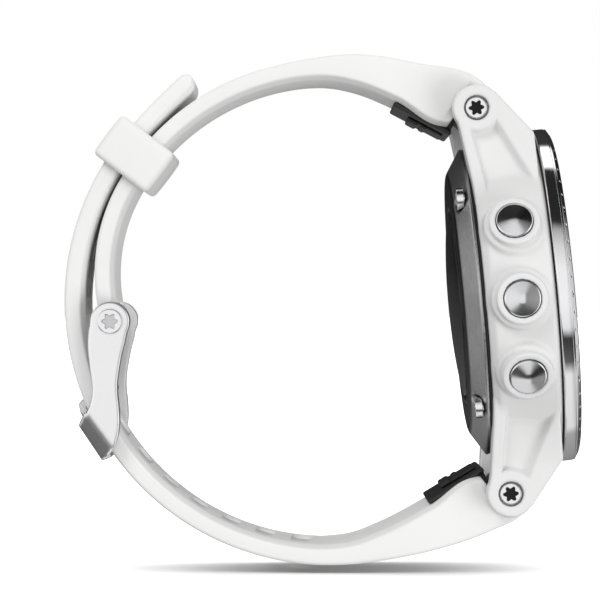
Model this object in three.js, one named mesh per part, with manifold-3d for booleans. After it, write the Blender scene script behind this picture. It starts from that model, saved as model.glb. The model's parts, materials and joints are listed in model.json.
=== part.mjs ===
// A GPS sports watch standing buckled on its strap, in millimetres, +Z up. The dial looks along +X and
// leans back a little, the 12 o'clock lugs are at the top, and the three left-hand buttons face -Y.
// The origin is the middle of the object's footprint, on the surface that it stands on.
import * as THREE from "three";
import { mergeVertices } from "three/addons/utils/BufferGeometryUtils.js";
import Module from "manifold-3d";

const wasm = await Module();
wasm.setup();

// ---- Driving dimensions -------------------------------------------------------------------------
const LEAN = 5.1; // degrees that the dial's normal points up
const CASE_X = 28.1; // where the dial axis crosses the seat of the bezel
const CASE_Z = 33.4;
const BAND_X = 0.6; // the centre that both strap layers curl round
const BAND_Z = 32.7;
const MIDDLE_Y = 0.65; // the watch's middle plane: the left-hand buttons reach a little further out

const BEZEL_RADIUS = 21;
const BEZEL_HEIGHT = 2.2;
const DIAL_OPENING = 17.3;
const CASE_BACK = -8.55; // along the dial axis, from the seat of the bezel
const CASE_BORE = 17.9;
const COVER_RADIUS = 19.4;
const COVER_FLAT_RADIUS = 16.25;
const COVER_BACK = -11.2;
const SENSOR_RADIUS = 11.7;
const SENSOR_BACK = -12.2;

const BUTTON_AXIS = -4.3; // along the dial axis
const BUTTON_STEP = 25.5; // degrees between buttons, round the case
const BUTTON_RADIUS = 2.22;
const BUTTON_TOP = 22.7; // distance of the cap's middle from the dial axis
const BUTTON_PEAK = 0.5; // rise of the cap's conical face
const COLLAR_TOP = 22.0;
const COLLAR_RADIUS = 3.1;
const COLLAR_FOOT_RADIUS = 3.7;
const BUTTON_TRAVEL_FLOOR = 20.0;

const LUG_PIN_A = -7.3; // the lug pins, along the dial axis and across it
const LUG_PIN_Z = 23.75;
const LUG_TIP_RADIUS = 2.9;
const LUG_INNER = 10.3; // half the gap between a pair of lugs
const LUG_OUTER = 13.9;
const LUG_POCKET_DEPTH = 0.45;
const PIN_RADIUS = 0.95;
const RUNNING_FIT = 0.25; // gap between a pin or a button and the hole it moves in
const SCREW_HEAD_RADIUS = 1.33;
const SCREW_HEAD_BACK = 12.95; // depth of a lug screw's seat, from the middle plane
const SCREW_HEAD_FRONT = 13.75;
const UPPER_STRAP_ANGLE = 33; // degrees from the case back to the strap's inner face at the lugs
const LOWER_STRAP_ANGLE = 26;

const STRAP_WIDTH = 20; // at the lugs
const STRAP_TAIL_WIDTH = 18; // round the wrist
const INNER_LAYER = [27.5, 29.9]; // inner and outer radius of the layer that ends at the buckle
const OUTER_LAYER = [30.2, 32.7]; // the same of the tail that passes over it
const TAIL_TIP_ANGLE = 123.4; // degrees round the band, from +X towards +Z
const TAIL_LIFT_ANGLE = 138; // past the keeper the tail springs away from the inner layer
const TAIL_LIFT = 0.9;
const HOLE_PITCH = 8.7; // degrees
const FIRST_HOLE = 159.3;
const HOLE_LENGTH = 2.4;
const HOLE_WIDTH = 2.0;
const HOLE_COUNT = 13;

const CURL_START = 150; // where the inner layer turns in to meet the buckle bar
const CURL_SHIFT = 7; // how far that curl's centre lies from the band's centre
const BAR_ANGLE = 196; // of the buckle bar, round the curl's centre
const BAR_RADIUS = 0.75;
const BAR_FIT = 0.3;
const BOSS_RADIUS = 2.45; // of a side plate, round the bar
const PLATE_INNER = 9.4; // half the gap between the buckle's side plates
const PLATE_OUTER = 11.2;
const CROSSBAR = [33.1, 34.7]; // inner and outer radius of the crossbar, round the band
const CROSSBAR_ANGLES = [204.6, 215.4];
const TANG_EYE_RADIUS = 1.6;
const TANG_WIDTH = 1.2;

const KEEPER_ANGLE = 142.8;
const KEEPER_LENGTH = 6.2;
const KEEPER_WALL = 1.3;
const KEEPER_CLEARANCE = 0.35;
const KEEPER_HALF_WIDTH = 11;

const ROUND = 40; // facets round the case
const SMALL_ROUND = 16; // facets round a screw
const BUTTON_ROUND = 20; // facets round a button and its collar

// ---- Finishes -----------------------------------------------------------------------------------
function finish(color, roughness, metalness) {
  return () => new THREE.MeshStandardMaterial({ color, roughness, metalness });
}
const whitePolymer = finish(0xf1f1f0, 0.42, 0);
const whiteSilicone = finish(0xeeeeed, 0.62, 0);
const polishedSteel = finish(0xc9cacc, 0.12, 1);
const brushedSteel = finish(0xa4a5a6, 0.36, 1);
const darkSteel = finish(0x4a4b4c, 0.4, 1);
const blackPolymer = finish(0x1b1b1c, 0.5, 0);
const blackRubber = finish(0x101011, 0.75, 0);
const glass = finish(0x15171a, 0.05, 0);
const boardGreen = finish(0x1f5a3a, 0.6, 0);
const batterySilver = finish(0xb7b9bb, 0.4, 0.6);
const copper = finish(0xb9814f, 0.35, 1);

// ---- Geometry helpers ---------------------------------------------------------------------------
const rad = THREE.MathUtils.degToRad;

/** The same surface with shared corners, and no slivers left where a profile meets its axis. */
function welded(geometry) {
  const bare = geometry.clone();
  bare.deleteAttribute("normal");
  bare.deleteAttribute("uv");
  const merged = mergeVertices(bare, 1e-4);
  const index = merged.index.array;
  const kept = [];
  for (let i = 0; i < index.length; i += 3) {
    const [a, b, c] = [index[i], index[i + 1], index[i + 2]];
    if (a !== b && b !== c && c !== a) kept.push(a, b, c);
  }
  merged.setIndex(kept);
  return merged;
}

/** The volume inside a closed surface, negative when its faces point inwards. */
function signedVolume(geometry) {
  const place = geometry.attributes.position;
  const index = geometry.index.array;
  const corner = [new THREE.Vector3(), new THREE.Vector3(), new THREE.Vector3()];
  let sum = 0;
  for (let i = 0; i < index.length; i += 3) {
    corner.forEach((v, k) => v.fromBufferAttribute(place, index[i + k]));
    sum += corner[0].dot(corner[1].clone().cross(corner[2])) / 6;
  }
  return sum;
}

function outward(geometry) {
  const closed = welded(geometry);
  if (signedVolume(closed) < 0) {
    const index = closed.index.array;
    for (let i = 0; i < index.length; i += 3) [index[i], index[i + 1]] = [index[i + 1], index[i]];
  }
  return closed;
}

function solidOf(geometry) {
  const closed = outward(geometry);
  const vertProperties = new Float32Array(closed.attributes.position.array);
  const triVerts = new Uint32Array(closed.index.array);
  return new wasm.Manifold(new wasm.Mesh({ numProp: 3, vertProperties, triVerts }));
}

function geometryOf(solid) {
  const mesh = solid.getMesh();
  const geometry = new THREE.BufferGeometry();
  geometry.setAttribute("position", new THREE.BufferAttribute(new Float32Array(mesh.vertProperties), 3));
  geometry.setIndex(new THREE.BufferAttribute(new Uint32Array(mesh.triVerts), 1));
  return geometry;
}

function joined(first, ...others) {
  return geometryOf(others.reduce((sum, next) => sum.add(solidOf(next)), solidOf(first)));
}

function cut(first, ...cutters) {
  return geometryOf(cutters.reduce((rest, next) => rest.subtract(solidOf(next)), solidOf(first)));
}

/** A solid turned round the X axis from [position along X, radius] pairs. */
function turned(profile, segments = ROUND) {
  const points = profile.map(([along, radius]) => new THREE.Vector2(radius, along));
  if (profile[0][1] > 0) points.push(points[0].clone());
  return outward(new THREE.LatheGeometry(points, segments).rotateZ(-Math.PI / 2));
}

function disc(radius, back, front, segments = ROUND) {
  return turned([[back, 0], [back, radius], [front, radius], [front, 0]], segments);
}

function ring(inner, outer, back, front, segments = ROUND) {
  return turned([[back, inner], [back, outer], [front, outer], [front, inner]], segments);
}

/** A bar of one radius along Y. */
function rod(radius, from, to, segments = SMALL_ROUND) {
  return new THREE.CylinderGeometry(radius, radius, to - from, segments).translate(0, (from + to) / 2, 0);
}

function block(x, y, z, cx = 0, cy = 0, cz = 0) {
  return new THREE.BoxGeometry(x, y, z).translate(cx, cy, cz);
}

/** An outline in the XZ plane made a plate of the given width, centred on y = middle. */
function plate(points, width, middle = 0, chamfer = 0) {
  const bevel = { bevelThickness: chamfer, bevelSize: chamfer, bevelOffset: -chamfer, bevelSegments: 1 };
  const depth = width - 2 * chamfer;
  const options = { depth, bevelEnabled: chamfer > 0, ...bevel };
  const shape = new THREE.Shape(points);
  const raised = new THREE.ExtrudeGeometry(shape, options).translate(0, 0, -depth / 2);
  return raised.rotateX(Math.PI / 2).translate(0, middle, 0);
}

function vec(x, z) {
  return new THREE.Vector2(x, z);
}

function polar(radius, degrees, centre = vec(0, 0)) {
  return vec(centre.x + radius * Math.cos(rad(degrees)), centre.y + radius * Math.sin(rad(degrees)));
}

/** Points along an arc, a facet about every stepDegrees. */
function arc(radius, from, to, centre = vec(0, 0), stepDegrees = 6) {
  const steps = Math.max(1, Math.round(Math.abs(to - from) / stepDegrees));
  const turn = (to - from) / steps;
  return Array.from({ length: steps + 1 }, (_, i) => polar(radius, from + turn * i, centre));
}

/** Points inside a smooth curve through the given ones, its two ends left out. */
function bend(points, pieces) {
  return new THREE.SplineCurve(points).getPoints(pieces).slice(1, -1);
}

/** A six-lobed driver recess, entered along +X, for the head of a screw. */
function lobes(radius, back, front) {
  const points = [];
  for (let k = 0; k < 12; k += 1) {
    points.push(polar(k % 2 ? 0.7 * radius : radius, k * 30));
  }
  const shape = new THREE.Shape(points);
  const raised = new THREE.ExtrudeGeometry(shape, { depth: front - back, bevelEnabled: false });
  return raised.rotateY(Math.PI / 2).translate(back, 0, 0);
}

// ---- Frames -------------------------------------------------------------------------------------
const watch = new THREE.Group();
const caseGroup = new THREE.Group();
caseGroup.position.set(CASE_X, MIDDLE_Y, CASE_Z);
caseGroup.rotation.y = -rad(LEAN);
watch.add(caseGroup);
const bandGroup = new THREE.Group();
bandGroup.position.set(BAND_X, MIDDLE_Y, BAND_Z);
watch.add(bandGroup);
watch.updateMatrixWorld(true);

function piece(name, geometry, material, parent) {
  const mesh = new THREE.Mesh(geometry, material());
  mesh.name = name;
  parent.add(mesh);
  return mesh;
}

/** The frame of one pair of lugs in the case: X runs along the strap, Z out of its outer face. */
function lugFrame(side) {
  const angle = rad(side > 0 ? UPPER_STRAP_ANGLE : LOWER_STRAP_ANGLE);
  const along = new THREE.Vector3(-Math.cos(angle), 0, side * Math.sin(angle));
  const out = new THREE.Vector3(Math.sin(angle), 0, side * Math.cos(angle));
  const across = new THREE.Vector3(0, -side, 0);
  const frame = new THREE.Matrix4().makeBasis(along, across, out);
  return frame.setPosition(LUG_PIN_A, 0, side * LUG_PIN_Z);
}

/** The same frame seen from the band's centre. */
function lugFrameInBand(side) {
  const toBand = bandGroup.matrixWorld.clone().invert();
  return toBand.multiply(caseGroup.matrixWorld).multiply(lugFrame(side));
}

function lugPoint(side, along, out) {
  const p = new THREE.Vector3(along, 0, out).applyMatrix4(lugFrameInBand(side));
  return vec(p.x, p.z);
}

// ---- Case shell ---------------------------------------------------------------------------------
const buttons = [
  { name: "light_button", angle: 180 - BUTTON_STEP },
  { name: "up_button", angle: 180 },
  { name: "down_button", angle: 180 + BUTTON_STEP },
  { name: "start_button", angle: BUTTON_STEP },
  { name: "back_button", angle: -BUTTON_STEP },
];

/** Puts a shape made along +Y, at its distance from the dial axis, at one button's place. */
function atButton(geometry, angle) {
  return geometry.rotateX(rad(angle)).translate(BUTTON_AXIS, 0, 0);
}

function cone(footRadius, topRadius, from, to) {
  const shape = new THREE.CylinderGeometry(topRadius, footRadius, to - from, BUTTON_ROUND);
  return shape.translate(0, (from + to) / 2, 0);
}

const SCREW_CIRCLE = 18.1;
const screwAngles = [45, 135, 225, 315];

/** Puts a shape made along the dial axis at one rear screw's place. */
function atScrew(geometry, angle) {
  return geometry.translate(0, SCREW_CIRCLE, 0).rotateX(rad(angle));
}

function lugOutline(side) {
  const pin = vec(LUG_PIN_A, side * LUG_PIN_Z);
  const tip = arc(LUG_TIP_RADIUS, 38, 190, vec(0, 0), 19);
  const raised = tip.map((p) => vec(pin.x + p.x, pin.y + side * p.y));
  return [
    vec(-0.5, side * 12),
    vec(-0.55, side * 20.1),
    ...raised,
    vec(-9.5, side * 21.2),
    vec(-8.4, side * 16.5),
    vec(-8.1, side * 12),
  ];
}

/** The shallow three-cornered hollow in a lug's outer face. */
function lugPocket(side) {
  return [
    vec(-1.1, side * 14.0),
    vec(-3.4, side * 19.6),
    vec(-5.4, side * 22.0),
    vec(-7.9, side * 21.2),
    vec(-7.3, side * 13.5),
  ];
}

function caseShell() {
  const wall = turned([
    [-0.1, CASE_BORE],
    [-0.1, 20.3],
    [-0.55, 20.7],
    [-7.0, 20.25],
    [CASE_BACK + 0.35, 19.7],
    [CASE_BACK, 19.35],
    [CASE_BACK, CASE_BORE],
  ]);
  const parts = [];
  const holes = [];
  for (const side of [1, -1]) {
    for (const hand of [1, -1]) {
      const middle = (hand * (LUG_INNER + LUG_OUTER)) / 2;
      parts.push(plate(lugOutline(side), LUG_OUTER - LUG_INNER, middle));
      holes.push(plate(lugPocket(side), 2 * LUG_POCKET_DEPTH, hand * LUG_OUTER));
      const seat = rod(SCREW_HEAD_RADIUS + RUNNING_FIT, SCREW_HEAD_BACK, 16);
      if (hand < 0) seat.rotateX(Math.PI);
      holes.push(seat.translate(LUG_PIN_A, 0, side * LUG_PIN_Z));
    }
    holes.push(rod(PIN_RADIUS + RUNNING_FIT, -16, 16).translate(LUG_PIN_A, 0, side * LUG_PIN_Z));
  }
  for (const { angle } of buttons) {
    parts.push(atButton(cone(COLLAR_FOOT_RADIUS + 0.25, COLLAR_FOOT_RADIUS, 19, 20.9), angle));
    parts.push(atButton(cone(COLLAR_RADIUS + 0.15, COLLAR_RADIUS, 19, COLLAR_TOP), angle));
    const bore = rod(BUTTON_RADIUS + RUNNING_FIT, BUTTON_TRAVEL_FLOOR, 24, BUTTON_ROUND);
    holes.push(atButton(bore, angle));
    holes.push(atButton(rod(1.2, 16, 21, 12), angle));
  }
  let body = parts.reduce((sum, next) => sum.add(solidOf(next)), solidOf(wall));
  body = body.subtract(solidOf(disc(CASE_BORE, -12, 3)));
  for (const angle of screwAngles) {
    body = body.add(solidOf(atScrew(disc(1.7, CASE_BACK, -4.6, SMALL_ROUND), angle)));
    holes.push(atScrew(disc(0.75, CASE_BACK - 1, -5.2, SMALL_ROUND), angle));
  }
  return geometryOf(holes.reduce((rest, next) => rest.subtract(solidOf(next)), body));
}

piece("case_shell", caseShell(), whitePolymer, caseGroup);

// ---- Front: bezel, lens, display ----------------------------------------------------------------
piece("bezel", turned([
  [0, DIAL_OPENING],
  [0, BEZEL_RADIUS],
  [1.45, BEZEL_RADIUS],
  [1.5, BEZEL_RADIUS - 0.2],
  [1.65, BEZEL_RADIUS - 0.2],
  [1.7, BEZEL_RADIUS - 0.05],
  [BEZEL_HEIGHT, BEZEL_RADIUS - 0.7],
  [BEZEL_HEIGHT, BEZEL_RADIUS - 2.2],
  [BEZEL_HEIGHT - 0.4, DIAL_OPENING],
]), polishedSteel, caseGroup);
piece("lens", disc(DIAL_OPENING - 0.5, 0.45, 1.55), glass, caseGroup);
piece("lens_gasket", ring(DIAL_OPENING - 0.4, DIAL_OPENING - 0.1, 0.45, 1.4), blackRubber, caseGroup);
piece("display_panel", disc(16, -0.95, 0.3), glass, caseGroup);
piece("gps_antenna_ring", ring(16.35, 17.3, -1.0, -0.25), copper, caseGroup);
piece("inner_chassis", turned([
  [-1.15, 0],
  [-1.15, 16.5],
  [-1.8, 16.5],
  [-1.8, 15.8],
  [-7.6, 15.8],
  [-7.6, 15.2],
  [-1.8, 15.2],
  [-1.8, 0],
]), blackPolymer, caseGroup);

// ---- Inside: board, battery, motor, beeper, switches --------------------------------------------
piece("main_board", disc(14.8, -3.1, -2.1), boardGreen, caseGroup);
piece("battery", block(3.4, 17, 20, -5.1, 0, 0), batterySilver, caseGroup);
piece("vibration_motor", new THREE.CylinderGeometry(1.5, 1.5, 8, SMALL_ROUND)
  .rotateX(Math.PI / 2).translate(-4.9, 11.4, 0), polishedSteel, caseGroup);
piece("beeper", disc(2.2, -5.6, -3.5, SMALL_ROUND).translate(0, -11.7, 0), copper, caseGroup);

/** A curved strip outside the chassis wall that carries one dome switch behind each button. */
function switchStrip(angles) {
  const reach = Math.max(...angles) - Math.min(...angles);
  const middle = (Math.max(...angles) + Math.min(...angles)) / 2;
  const from = middle - reach / 2 - 7;
  const to = middle + reach / 2 + 7;
  const outline = [...arc(16.2, from, to), ...arc(15.98, to, from)];
  const strip = new THREE.ExtrudeGeometry(new THREE.Shape(outline), { depth: 3, bevelEnabled: false });
  // The outline's plane becomes the plane across the dial axis: its X runs along Y, its Y along Z.
  const turn = new THREE.Matrix4().makeBasis(
    new THREE.Vector3(0, 1, 0), new THREE.Vector3(0, 0, 1), new THREE.Vector3(1, 0, 0));
  strip.applyMatrix4(turn).translate(BUTTON_AXIS - 1.5, 0, 0);
  const domes = angles.map((angle) => atButton(rod(1.2, 16.05, 16.42, 12), angle));
  return joined(strip, ...domes);
}
piece("left_switch_strip", switchStrip(buttons.slice(0, 3).map((b) => b.angle)), copper, caseGroup);
piece("right_switch_strip", switchStrip(buttons.slice(3).map((b) => b.angle)), copper, caseGroup);

// ---- Buttons and the clips that hold them in ----------------------------------------------------
for (const { name, angle } of buttons) {
  const cap = new THREE.LatheGeometry([
    vec(0, 17.15),
    vec(0.9, 17.15),
    vec(0.9, 20.85),
    vec(BUTTON_RADIUS, 20.85),
    vec(BUTTON_RADIUS, BUTTON_TOP - BUTTON_PEAK - 0.12),
    vec(BUTTON_RADIUS - 0.12, BUTTON_TOP - BUTTON_PEAK),
    vec(0, BUTTON_TOP),
  ], BUTTON_ROUND);
  const groove = cut(rod(1.0, 17.35, 17.65, 12), rod(0.72, 17, 18, 12));
  piece(name, cut(outward(cap), groove), polishedSteel, caseGroup)
    .geometry.rotateX(rad(angle)).translate(BUTTON_AXIS, 0, 0);
  const clip = cut(rod(1.75, 17.4, 17.6, 12), rod(0.78, 17, 18, 12), block(1.2, 2, 3, 0, 17.5, 1.5));
  piece(name.replace("button", "button_clip"), atButton(clip, angle), brushedSteel, caseGroup);
}

// ---- Back: gasket, cover, screws, sensor, charging contacts --------------------------------------
const PORT_Z = -14.1;

function rearCover() {
  const cover = turned([
    [-8.05, 16.9],
    [-8.05, 17.55],
    [-8.95, 17.55],
    [-8.95, COVER_RADIUS],
    [-9.2, COVER_RADIUS],
    [COVER_BACK, COVER_FLAT_RADIUS],
    [COVER_BACK, SENSOR_RADIUS + 0.35],
    [-10.2, SENSOR_RADIUS + 0.35],
    [-10.2, 15.6],
    [-9.3, 16.9],
  ]);
  const holes = screwAngles.map((angle) => atScrew(disc(0.75, -12, -8, SMALL_ROUND), angle));
  const seats = screwAngles.map((angle) => atScrew(disc(1.6, -13, -9.75, SMALL_ROUND), angle));
  const bosses = screwAngles.map((angle) => atScrew(disc(2.0, CASE_BACK - 0.2, -7, SMALL_ROUND), angle));
  return cut(cover, ...holes, ...seats, ...bosses, block(4, 5.6, 2.9, -11, 0, PORT_Z));
}
piece("rear_gasket", cut(
  ring(17.75, COVER_RADIUS - 0.15, -8.9, -8.6),
  ...screwAngles.map((angle) => atScrew(disc(0.75, -10, -8, SMALL_ROUND), angle)),
), blackRubber, caseGroup);
piece("rear_cover", rearCover(), darkSteel, caseGroup);
piece("sensor_window", turned([
  [-10.35, 0],
  [-10.35, SENSOR_RADIUS],
  [COVER_BACK - 0.1, SENSOR_RADIUS],
  [SENSOR_BACK + 0.45, 9],
  [SENSOR_BACK + 0.1, 5],
  [SENSOR_BACK, 0],
]), glass, caseGroup);
piece("sensor_board", disc(9, -9.9, -9.1), boardGreen, caseGroup);
piece("charging_contacts", block(0.95, 5, 2.3, -10.72, 0, PORT_Z), blackPolymer, caseGroup);

/** A screw along the dial axis, its driver recess facing the wrist. */
function rearScrew() {
  const body = turned([
    [-10.75, 0],
    [-10.75, 1.25],
    [-10.6, 1.38],
    [-9.85, 1.38],
    [-9.85, 0.52],
    [-5.6, 0.52],
    [-5.6, 0],
  ], SMALL_ROUND);
  return cut(body, lobes(0.95, -11.5, -10.35));
}
screwAngles.forEach((angle, k) => {
  piece(`rear_screw_${k + 1}`, atScrew(rearScrew(), angle), polishedSteel, caseGroup);
});

// ---- Lug pins and their screws ------------------------------------------------------------------
for (const [label, side] of [["upper", 1], ["lower", -1]]) {
  const seat = new THREE.Group();
  seat.position.set(LUG_PIN_A, 0, side * LUG_PIN_Z);
  caseGroup.add(seat);
  const star = lobes(0.95, 13.3, 14.5).rotateZ(Math.PI / 2);
  const head = rod(SCREW_HEAD_RADIUS, SCREW_HEAD_BACK + 0.1, SCREW_HEAD_FRONT);
  const pin = joined(rod(PIN_RADIUS, -9.9, 13.3), head);
  piece(`${label}_lug_pin`, cut(pin, star), polishedSteel, seat);
  const screw = joined(rod(0.7, 10.2, 13.3), head);
  piece(`${label}_lug_screw`, cut(screw, star), polishedSteel, seat).rotation.z = Math.PI;
}

// ---- Strap ends: the black link that hooks the pin, and its sliding latch ------------------------
const LINK_FACE = -3.6; // the strap's inner face, below the pin
const LINK_REACH = [1.2, 9.2];

function strapLink() {
  const middle = (LINK_REACH[0] + LINK_REACH[1]) / 2;
  const base = block(LINK_REACH[1] - LINK_REACH[0], 17, 0.6, middle, 0, LINK_FACE - 0.35);
  const neck = block(1.0, 15, 2.6, 1.9, 0, LINK_FACE + 0.9);
  const hook = rod(2.15, -7.5, 7.5, 20);
  const mouth = block(2.2, 16, 4, -1.1, 0, -2.2);
  const body = joined(base, neck, hook);
  return cut(body, rod(PIN_RADIUS + RUNNING_FIT, -9, 9, 20), mouth);
}

function strapLatch() {
  const face = LINK_FACE - 0.7;
  const slider = block(4.8, 9, 0.3, 4.4, 0, face - 0.15);
  const grip = block(1.2, 9, 0.4, 6.1, 0, face - 0.35);
  const rib = block(0.5, 9, 0.3, 4.6, 0, face - 0.3);
  return joined(slider, grip, rib);
}

for (const [label, side] of [["upper", 1], ["lower", -1]]) {
  const end = new THREE.Group();
  end.applyMatrix4(lugFrame(side));
  caseGroup.add(end);
  piece(`${label}_strap_link`, strapLink(), blackPolymer, end);
  piece(`${label}_latch`, strapLatch(), blackPolymer, end);
}

// ---- Strap --------------------------------------------------------------------------------------
const curl = polar(CURL_SHIFT, CURL_START);
const curlOuter = INNER_LAYER[1] - CURL_SHIFT;
const curlInner = INNER_LAYER[0] - CURL_SHIFT;
const bar = polar((curlOuter + curlInner) / 2, BAR_ANGLE, curl);

/** Narrows a strap from its width at the lugs to its width round the wrist. */
function tapered(geometry) {
  const place = geometry.attributes.position;
  for (let i = 0; i < place.count; i += 1) {
    const angle = Math.abs(THREE.MathUtils.radToDeg(Math.atan2(place.getZ(i), place.getX(i))));
    const share = THREE.MathUtils.smoothstep(angle, 62, 116);
    place.setY(i, place.getY(i) * (1 - share * (1 - STRAP_TAIL_WIDTH / STRAP_WIDTH)));
  }
  return geometry;
}

/** The room that a strap end leaves for the pin, the hook round it and the link's neck. */
function pinRoom(side) {
  const room = rod(2.45, -12, 12, 20);
  const slot = block(3.2, 24, 5, 1.1, 0, -2.6);
  return joined(room, slot).applyMatrix4(lugFrameInBand(side));
}

function upperStrap() {
  const end = [lugPoint(1, -1.9, -0.4), lugPoint(1, -2.1, 1.6), lugPoint(1, -1.4, 2.8)];
  const shoulder = lugPoint(1, 0, 3.2);
  const join = polar(INNER_LAYER[1], 102);
  const outline = [
    ...end,
    shoulder,
    ...bend([shoulder, vec(10.7, 29.5), vec(3.2, 30.6), join], 9),
    ...arc(INNER_LAYER[1], 102, CURL_START),
    ...arc(curlOuter, CURL_START + 6, BAR_ANGLE - 4, curl),
    ...arc(1.75, BAR_ANGLE, BAR_ANGLE + 180, bar, 22.5),
    ...arc(curlInner, BAR_ANGLE - 4, CURL_START + 6, curl),
    ...arc(INNER_LAYER[0], CURL_START, 96),
    ...bend([polar(INNER_LAYER[0], 96), vec(3.4, 26.8), lugPoint(1, LINK_REACH[1], LINK_FACE)], 5),
    lugPoint(1, LINK_REACH[1], LINK_FACE),
    lugPoint(1, 2.4, LINK_FACE),
  ];
  const body = tapered(plate(outline, STRAP_WIDTH, 0, 0.4));
  const barHole = rod(BAR_RADIUS + BAR_FIT, -12, 12).translate(bar.x, 0, bar.y);
  const tangSlot = block(5, TANG_WIDTH + 1.1, 6, bar.x - 0.6, 0, bar.y - 0.7);
  return cut(body, pinRoom(1), barHole, tangSlot);
}

/** A slot with round ends, its length along X and its depth along Z. */
function strapHole() {
  const half = (HOLE_LENGTH - HOLE_WIDTH) / 2;
  const outline = [
    ...arc(HOLE_WIDTH / 2, -90, 90, vec(half, 0), 45),
    ...arc(HOLE_WIDTH / 2, 90, 270, vec(-half, 0), 45),
  ];
  const options = { depth: 5, bevelEnabled: false };
  return new THREE.ExtrudeGeometry(new THREE.Shape(outline), options).translate(0, 0, -2.5);
}

/** Moves a point of the tail outwards, more and more from the lift angle to the tip. */
function sprung(point) {
  const angle = THREE.MathUtils.radToDeg(Math.atan2(point.y, point.x));
  if (angle < TAIL_TIP_ANGLE - 1 || angle > TAIL_LIFT_ANGLE) return point;
  const share = (TAIL_LIFT_ANGLE - angle) / (TAIL_LIFT_ANGLE - TAIL_TIP_ANGLE);
  return polar(point.length() + TAIL_LIFT * share ** 2, angle);
}

function lowerStrap() {
  const end = [lugPoint(-1, -1.9, -0.4), lugPoint(-1, -2.1, 1.6), lugPoint(-1, -1.4, 2.8)];
  const shoulder = lugPoint(-1, 0, 3.2);
  const tip = TAIL_TIP_ANGLE - 360;
  const middle = (OUTER_LAYER[0] + OUTER_LAYER[1]) / 2;
  const outline = [
    ...end,
    shoulder,
    ...bend([shoulder, vec(20.2, -28.4), vec(13.1, -30.8), polar(OUTER_LAYER[1], -78)], 9),
    ...arc(OUTER_LAYER[1], -78, tip).map(sprung),
    ...arc(1.25, tip, tip - 180, sprung(polar(middle, tip)), 30).slice(1, -1),
    ...arc(OUTER_LAYER[0], tip, -90).map(sprung),
    ...bend([polar(OUTER_LAYER[0], -90), vec(6.5, -28.5), lugPoint(-1, LINK_REACH[1], LINK_FACE)], 6),
    lugPoint(-1, LINK_REACH[1], LINK_FACE),
    lugPoint(-1, 2.4, LINK_FACE),
  ];
  const body = tapered(plate(outline, STRAP_WIDTH, 0, 0.4));
  const holes = Array.from({ length: HOLE_COUNT }, (_, k) => {
    const angle = FIRST_HOLE + HOLE_PITCH * k;
    return strapHole().translate(0, 0, middle).rotateY(rad(90 - angle));
  });
  return cut(body, pinRoom(-1), ...holes);
}

piece("upper_strap", upperStrap(), whiteSilicone, bandGroup);
piece("lower_strap", lowerStrap(), whiteSilicone, bandGroup);

// ---- Keeper -------------------------------------------------------------------------------------
function keeperLoop() {
  const inside = [INNER_LAYER[0] - KEEPER_CLEARANCE, OUTER_LAYER[1] + KEEPER_CLEARANCE];
  const height = inside[1] - inside[0];
  const middle = (inside[0] + inside[1]) / 2;
  const wide = 2 * KEEPER_HALF_WIDTH;
  const outer = block(KEEPER_LENGTH, wide, height + 2 * KEEPER_WALL, 0, 0, middle);
  const hole = block(KEEPER_LENGTH + 2, wide - 2 * KEEPER_WALL, height, 0, 0, middle);
  return cut(outer, hole);
}
piece("keeper", keeperLoop(), whiteSilicone, bandGroup).rotation.y = rad(90 - KEEPER_ANGLE);

// ---- Buckle -------------------------------------------------------------------------------------
const buckle = new THREE.Group();
buckle.position.set(bar.x, 0, bar.y);
bandGroup.add(buckle);

function sidePlate() {
  const [from, to] = CROSSBAR_ANGLES;
  const outerEdge = bend([
    polar(BOSS_RADIUS, 150, bar),
    polar(BOSS_RADIUS, 190, bar),
    vec(-29.6, -7.1),
    vec(-29.1, -11.2),
    polar(CROSSBAR[1], from + 1.2),
  ], 10);
  const innerEdge = bend([
    polar(CROSSBAR[0], to),
    vec(-25.6, -15.6),
    vec(-26.2, -10.6),
    polar(BOSS_RADIUS, 300, bar),
    polar(BOSS_RADIUS, 330, bar),
  ], 9);
  return [
    ...arc(BOSS_RADIUS, -30, 150, bar, 22.5),
    ...outerEdge,
    polar(CROSSBAR[1], from + 1.2),
    polar(CROSSBAR[1], to - 1),
    polar(CROSSBAR[0], to),
    ...innerEdge,
  ];
}

function buckleFrame() {
  const thickness = PLATE_OUTER - PLATE_INNER;
  const middle = (PLATE_OUTER + PLATE_INNER) / 2;
  const [from, to] = CROSSBAR_ANGLES;
  const bridge = [
    ...arc(CROSSBAR[0], from, to, vec(0, 0), 4),
    polar(CROSSBAR[1], to - 1),
    polar(CROSSBAR[1], from + 1.2),
  ];
  const whole = joined(
    plate(sidePlate(), thickness, middle),
    plate(sidePlate(), thickness, -middle),
    plate(bridge, 2 * PLATE_OUTER - 1),
  );
  const rest = polar((CROSSBAR[0] + CROSSBAR[1]) / 2, from);
  const notch = block(4, TANG_WIDTH + 0.9, 4).rotateY(rad(-from)).translate(rest.x, 0, rest.y);
  const bores = rod(1.3, -14, 14, 20).translate(bar.x, 0, bar.y);
  return cut(whole, notch, bores).translate(-bar.x, 0, -bar.y);
}

function buckleTang() {
  const outline = [
    polar(27.0, 188.8),
    polar(28.2, 191),
    polar(28.5, 199.5),
    polar(28.6, 202.6),
    polar(29.4, 203.75),
    polar(33.2, 203.75),
    polar(33.2, 206.8),
    polar(34.2, 206.6),
    polar(34.3, 204.2),
    polar(34.1, 202.5),
    polar(33.5, 201.85),
    polar(29.9, 201.85),
    polar(29.5, 200.8),
    polar(29.5, 190.2),
    polar(28.6, 186.3),
  ];
  const arm = plate(outline, TANG_WIDTH);
  const eye = rod(TANG_EYE_RADIUS, -TANG_WIDTH / 2, TANG_WIDTH / 2).translate(bar.x, 0, bar.y);
  const bore = rod(BAR_RADIUS + BAR_FIT, -2, 2).translate(bar.x, 0, bar.y);
  return cut(joined(arm, eye), bore).translate(-bar.x, 0, -bar.y);
}

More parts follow.
